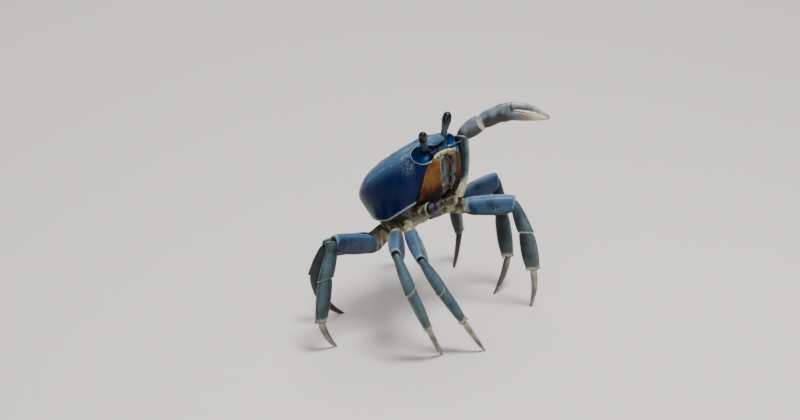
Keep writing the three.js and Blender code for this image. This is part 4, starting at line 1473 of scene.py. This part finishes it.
class CRAB_OT_face(bpy.types.Operator):
    """Builds the cheeks, the mouth plates and the pale band above the mouth."""

    bl_idname = "crab.face"
    bl_label = "Face"

    def execute(self, context):
        body, materials = body_of(context), materials_of(context)
        wall = body["wall"]
        bm = skin_patch(body, inside_epistome, epistome_relief, 0.4, 0.8)
        finish_piece(bm, "epistome", materials["band"], wall=wall)
        for side_name, side in SIDES.items():
            bm = skin_patch(body, lambda p: inside_cheek(p) if p.x * side > 0 else OUTSIDE, cheek_relief)
            down = down_on(bm, f"down{side_name}")
            plate, node = f"cheek_plate_{side_name}", f"cheek_{side_name}"
            finish_piece(bm, plate, materials["rust"], [node], wall=wall)
            finish_piece(down, f"cheek_down_{side_name}", materials["down"])
            build_mouth(side_name, side, body, materials)
        return {"FINISHED"}


def build_mouth(side_name, side, body, materials):
    """One outer mouthpart: a narrow outer strip, a long plate and a short one, with the palp on it."""

    def field(p):
        return min(inside_mouth(p), abs(p.x) - mouth_gape(p)) if p.x * side > 0 else OUTSIDE

    bm = skin_patch(body, field, mouth_relief, 0.6, 0.8)
    plate, node = f"mouth_plate_{side_name}", f"maxilliped_{side_name}"
    finish_piece(bm, plate, materials["mouth"], [node], wall=body["wall"])
    turn = BODY_TO_WORLD.to_3x3()
    aim = turn @ Vector((-0.35 * side, 0.35, -1))
    place = frame_along(from_body(PALP_BASE, side), aim, turn @ Vector((0, -1, 0)))
    palp = limb_mesh(OUTLINES["palp"], PALP_LENGTH, (0.9, 0.8, 0.5), (1.0, 0.9, 0.5), bow=0.8,
                     keel=2, belly=2, around=14, along=24, tints=palp_tints)
    finish_piece(palp, f"palp_{side_name}", materials["rust"], place=place)


class CRAB_OT_underside(bpy.types.Operator):
    """Builds the breast under the plates and the narrow folded abdomen."""

    bl_idname = "crab.underside"
    bl_label = "Underside"

    def execute(self, context):
        body, cream = body_of(context), materials_of(context)["cream"]
        wall = body["wall"]
        bm = skin_patch(body, breast_field, lambda p: breast_relief(p, wall + 0.5), 0)
        finish_piece(bm, "breast", cream, ["sternum"], wall=wall)
        bm = skin_patch(body, inside_abdomen, abdomen_relief, 0.5, 0.8)
        finish_piece(bm, "abdomen_plates", cream, ["abdomen"], wall=wall)
        return {"FINISHED"}


class CRAB_OT_legs(bpy.types.Operator):
    """Builds the eight walking legs, five pieces each."""

    bl_idname = "crab.legs"
    bl_label = "Walking legs"

    def execute(self, context):
        materials, limb = materials_of(context), sizes_of(context.scene.crab_limbs)
        for side_name in SIDES:
            for number in LEG_LENGTHS:
                build_leg(side_name, number, materials, limb)
        return {"FINISHED"}


# Outline, tints, sway, material and slot of the arm's pieces before the palm.
ARM_FINISHES = {
    "base": ("hip", hip_tints, 0, "cream", "cream_shell"),
    "merus": ("merus", arm_tints, ARM_SWAY, "shin", "claw_shell"),
    "carpus": ("carpus", arm_carpus_tints, 0, "claw", "claw_shell"),
}
# The first tooth that is brown like the finger's tip.
BROWN_TEETH_FROM = 6


class CRAB_OT_claw(bpy.types.Operator):
    """Builds the raised left arm and its claw."""

    bl_idname = "crab.claw"
    bl_label = "Claw"

    def execute(self, context):
        materials, limb = materials_of(context), sizes_of(context.scene.crab_limbs)
        joint = from_body(SHOULDER)
        for name, (outline, tints, sway, material, slot) in ARM_FINISHES.items():
            heading, rise, length, heights, thicknesses = ARM[name]
            bm = limb_mesh(OUTLINES[outline], length, heights, thicknesses, keel=2.2, belly=2.4, around=36,
                           sway=sway, tints=tints)
            if name != "base":
                ball_joint(bm, [min(heights[0], thicknesses[0]) * 0.9] * 3)
            direction = towards(heading, rise)
            place = frame_along(joint, direction, UP)
            finish_piece(bm, f"arm_{name}", materials[material], [f"claw_left_{name}"], place)
            joint = joint + direction * length
        build_palm(joint, materials["claw"], limb["tooth"])
        wrist = joint + towards(*ARM["palm"][:2]) * ARM["palm"][2]
        build_moving_finger(wrist + UP * MOVING_FINGER_LIFT, materials["finger"], limb["tooth"])
        return {"FINISHED"}


def add_teeth(bm, count, first, reach, sizes, foot_at, up):
    """A row of low teeth along a finger, from a share of its length and over a share of it."""
    for k in range(count):
        size = sizes.get(k, sizes["rest"])
        mark = "inner" if k < BROWN_TEETH_FROM else "dark"
        add_spike(bm, foot_at(first + reach * k / (count - 1)), up, size * 0.55, size, mark, 8)


def build_palm(joint, material, tooth):
    """The palm, which runs on into the fixed finger with its teeth. It is lighter above as painted light, and
    has painted shade where it goes into its joint and in the notch.
    """
    heading, rise, length, heights, thicknesses = ARM["palm"]
    *aim, reach, finger_heights, finger_thicknesses = FIXED_FINGER
    along = towards(heading, rise)
    hand = frame_along(joint, along, UP)
    inverse = hand.inverted()
    start = inverse @ (joint + along * length - UP * FIXED_FINGER_DROP)
    finger_along = (inverse.to_3x3() @ towards(*aim)).normalized()
    finger_up = finger_along.cross(Vector((0, 1, 0))).normalized().cross(finger_along)

    def on_axis(t):
        return start + finger_along * (t * reach) + finger_up * bow_at(t, FIXED_FINGER_BOW)

    bm = limb_mesh(OUTLINES["palm"], length + reach, (1, 1, 1), (1, 1, 1), keel=2.3, belly=2.2,
                   around=36, along=60)
    pale, light, dark, inner = (layer(bm, name) for name in ("pale", "light", "dark", "inner"))
    for v in bm.verts:
        x, y, z = v.co
        u, t = x / length, (x - length) / reach
        if u < 1:
            high, thick = through(heights, max(0, u)), through(thicknesses, max(0, u))
            low = smooth(0.6, 1, u)
            centre = Vector((x, 0, 0)) + (start - Vector((length, 0, 0))) * low
            lift = Vector((0, 1, 0))
        else:
            past, blend = min(1, t), smooth(0, 0.18, t)
            high = heights[2] + (through(finger_heights, past) - heights[2]) * blend
            thick = thicknesses[2] + (through(finger_thicknesses, past) - thicknesses[2]) * blend
            bow = bow_at(past, FIXED_FINGER_BOW)
            low, centre, lift = 1, start + finger_along * (x - length) + finger_up * bow, finger_up
        knuckle = KNUCKLE_RISE * low * smooth(0.09, 0, t) * max(0, y)
        v.co = centre + lift * (y * high + knuckle) + Vector((0, 0, 1)) * z * thick
        patch = noise.noise(v.co * 0.2)
        # Painted light: lighter above, in patches.
        v[light] = smooth(-0.05, 0.7, y + 0.5 * patch) if t < 0 else max(v[light], 0.7 * smooth(0, 0.3, t))
        v[pale] = max(0.55 * smooth(3, 0.5, x), 0.15 * smooth(0.15, 0.4, patch) * smooth(0.3, 0.9, u),
                      0.8 * smooth(0.3, 0.75, t))
        v[inner] = 0.8 * smooth(0.15, 0.5, t)
        # Painted shade at the root inside the joint and in the notch; the finger's tip is brown.
        notch = 0.8 * ridge(t - 0.1, 0.03) * smooth(0.3, 0.8, y)
        v[dark] = max(smooth(-0.4, -1.2, x), 0.6 * smooth(0.9, 1.0, t), notch)
    sizes = {2: tooth, 6: tooth, "rest": tooth * 0.6}
    add_teeth(bm, 9, 0.22, 0.7, sizes, lambda t: on_axis(t) + finger_up * through(finger_heights, t) * 0.92,
              finger_up)
    ball_joint(bm, (4.2, 4.2, 3.6))
    finish_piece(bm, "palm_and_fixed_finger", material, ["claw_left_palm"], hand)


def build_moving_finger(joint, material, tooth):
    """The upper finger, with a dark notch of painted shade at its root and teeth under it."""
    heading, rise, length, heights, thicknesses = MOVING_FINGER
    bm = limb_mesh(OUTLINES["finger"], length, heights, thicknesses, bow=MOVING_FINGER_BOW,
                   keel=2.2, belly=2.2, along=50)
    pale, dark, inner = (layer(bm, name) for name in ("pale", "dark", "inner"))
    for v in bm.verts:
        t = v.co.x / length
        v[pale] = 0.15 + 0.4 * smooth(0.3, 0.9, t)
        v[inner] = 0.85 * smooth(0.84, 0.98, t)
        # Painted shade in the notch at the finger's root.
        v[dark] = max(v[dark], 0.85 * ridge(v.co.x - 2.9, 0.9))

    def under(t):
        return Vector((t * length, bow_at(t, MOVING_FINGER_BOW) - through(heights, t) * 0.92, 0))

    sizes = {1: tooth * 0.9, 5: tooth * 0.9, "rest": tooth * 0.55}
    add_teeth(bm, 8, 0.3, 0.6, sizes, under, Vector((0, -1, 0)))
    place = frame_along(joint, towards(heading, rise), UP)
    finish_piece(bm, "moving_finger", material, ["claw_left_finger"], place)


class CRAB_OT_stump(bpy.types.Operator):
    """Builds the stump of the shed right arm, with the bud of the new one in it."""

    bl_idname = "crab.stump"
    bl_label = "Stump and bud"

    def execute(self, context):
        materials = materials_of(context)
        place = frame_along(from_body(SHOULDER, -1), STUMP_DIRECTION, UP)
        bm = limb_mesh(OUTLINES["stump"], STUMP_LENGTH, (4.2, 4.4, 4.7), (4.4, 4.6, 4.8),
                       keel=1.6, belly=1.7, around=36, tints=stump_tints)
        finish_piece(bm, "stump_ring", materials["cream"], ["claw_right_stump"], place)
        bm = limb_mesh(OUTLINES["bud"], BUD_LENGTH, (4.1, 4.3, 3.8), (4.3, 4.5, 4),
                       keel=2, belly=2, around=36, along=36, tints=bud_tints)
        for v in bm.verts:
            v.co *= 1 + 0.06 * noise.noise(v.co * 0.5)
        place = place @ Matrix.Translation((STUMP_LENGTH, 0, 0))
        finish_piece(bm, "limb_bud", materials["bud"], ["claw_right_bud"], place)
        return {"FINISHED"}


class CRAB_OT_eyes(bpy.types.Operator):
    """Builds the stalks, the eyes and the short feelers."""

    bl_idname = "crab.eyes"
    bl_label = "Eyes and feelers"

    def execute(self, context):
        for side_name, side in SIDES.items():
            build_eye(side_name, side, materials_of(context))
            build_feeler(side_name, side, materials_of(context)["shin"])
        return {"FINISHED"}


def build_eye(side_name, side, materials):
    """A stalk and the long eye at its end."""
    place = frame_along(from_body(EYE_BASE, side), EYE_DIRECTIONS[side_name], Vector((0, 1, 0)))
    stalk, eye = (2.6, 2.2, 2.6), (2.7, 3.1, 2.4)
    bm = limb_mesh(OUTLINES["stalk"], EYESTALK_LENGTH, stalk, stalk, keel=2, belly=2, along=32,
                   tints=stalk_tints)
    node = f"eyestalk_{side_name}"
    finish_piece(bm, f"stalk_{side_name}", materials["shin"], [node], place)
    bm = limb_mesh(OUTLINES["eye"], EYE_LENGTH, eye, eye, keel=2, belly=2, along=32, tints=eye_tints)
    place = place @ Matrix.Translation((EYESTALK_LENGTH, 0, 0))
    finish_piece(bm, f"cornea_{side_name}", materials["eye"], [f"eye_{side_name}"], place)


def build_feeler(side_name, side, material):
    """The short feeler between the eye and the mouth."""
    x, y, z = ANTENNA_DIRECTION
    aim = BODY_TO_WORLD.to_3x3() @ Vector((x * side, y, z))
    half = (0.9, 0.55, 0.3)
    bm = limb_mesh(OUTLINES["feeler"], ANTENNA_LENGTH, half, half, keel=2, belly=2, around=12, along=30)
    place = frame_along(from_body(ANTENNA_BASE, side), aim, UP)
    finish_piece(bm, f"feeler_{side_name}", material, [f"antenna_{side_name}"], place)


class CRAB_OT_stage(bpy.types.Operator):
    """Sets the pale floor, the soft lights and the camera."""

    bl_idname = "crab.stage"
    bl_label = "Stage"

    def execute(self, context):
        scene = context.scene
        add_floor(scene)
        add_camera(scene, scene.crab_stage)
        for name, (place, size, power) in LIGHTS.items():
            light = bpy.data.objects.new(name, bpy.data.lights.new(name, "AREA"))
            light.data.energy = power
            light.data.size = size
            put_facing(scene, light, Vector(place), LIGHT_AIM - Vector(place))
        world = bpy.data.worlds.new("Studio")
        world.use_nodes = True
        sky = world.node_tree.nodes["Background"]
        sky.inputs["Color"].default_value = colour("#eceef0")
        sky.inputs["Strength"].default_value = SKY_STRENGTH
        scene.world = world
        return {"FINISHED"}


def add_floor(scene):
    """A wide floor of matte paint, so its only shades are the crab's own shadows."""
    mesh = bpy.data.meshes.new("floor")
    bm = bmesh.new()
    bmesh.ops.create_grid(bm, x_segments=1, y_segments=1, size=FLOOR_HALF_WIDTH)
    bm.to_mesh(mesh)
    bm.free()
    floor = bpy.data.objects.new("floor", mesh)
    scene.collection.objects.link(floor)
    material = bpy.data.materials.new("Studio floor")
    material.use_nodes = True
    shader = material.node_tree.nodes["Principled BSDF"]
    shader.inputs["Base Color"].default_value = colour("#dcd9d4")
    shader.inputs["Roughness"].default_value = 0.9
    mesh.materials.append(material)


def add_camera(scene, settings):
    """A camera with a long lens, so the crab is seen almost without perspective."""
    a, e = settings.azimuth, settings.elevation
    back = Vector((math.sin(a) * math.cos(e), -math.cos(a) * math.cos(e), math.sin(e)))
    camera = bpy.data.objects.new("camera", bpy.data.cameras.new("camera"))
    camera.data.lens = settings.lens
    put_facing(scene, camera, CAMERA_AIM * MM + back * settings.distance, -back)
    scene.camera = camera


def put_facing(scene, thing, place, direction):
    """Stands a camera or a light in its place, turned to face along a direction."""
    thing.location = place
    thing.rotation_mode = "QUATERNION"
    thing.rotation_quaternion = direction.to_track_quat("-Z", "Y")
    scene.collection.objects.link(thing)


class CRAB_PT_panel(bpy.types.Panel):
    """Lists the settings and the pieces of the crab."""

    bl_idname = "CRAB_PT_panel"
    bl_label = "Land crab"
    bl_space_type = "VIEW_3D"
    bl_region_type = "UI"
    bl_category = "Land crab"

    def draw(self, context):
        for group in SETTINGS:
            settings = getattr(context.scene, group)
            for name in settings.__annotations__:
                self.layout.prop(settings, name)
        for operator in OPERATORS:
            self.layout.operator(operator.bl_idname)


OPERATORS = (CRAB_OT_carapace, CRAB_OT_face, CRAB_OT_underside, CRAB_OT_legs, CRAB_OT_claw, CRAB_OT_stump,
             CRAB_OT_eyes, CRAB_OT_stage)
SETTINGS = {"crab_body": CrabBodySettings, "crab_limbs": CrabLimbSettings, "crab_colours": CrabColourSettings,
            "crab_stage": CrabStageSettings}
CLASSES = (*SETTINGS.values(), *OPERATORS, CRAB_PT_panel)


def register():
    """Adds the settings, the operators and the panel to Blender."""
    for group in CLASSES:
        bpy.utils.register_class(group)
    for name, group in SETTINGS.items():
        setattr(bpy.types.Scene, name, bpy.props.PointerProperty(type=group))


def unregister():
    """Takes them out again."""
    for name in SETTINGS:
        delattr(bpy.types.Scene, name)
    for group in reversed(CLASSES):
        bpy.utils.unregister_class(group)


def main():
    """Builds the crab piece by piece."""
    register()
    bpy.ops.crab.carapace()
    bpy.ops.crab.face()
    bpy.ops.crab.underside()
    bpy.ops.crab.legs()
    bpy.ops.crab.claw()
    bpy.ops.crab.stump()
    bpy.ops.crab.eyes()
    bpy.ops.crab.stage()


if __name__ == "__main__":
    main()
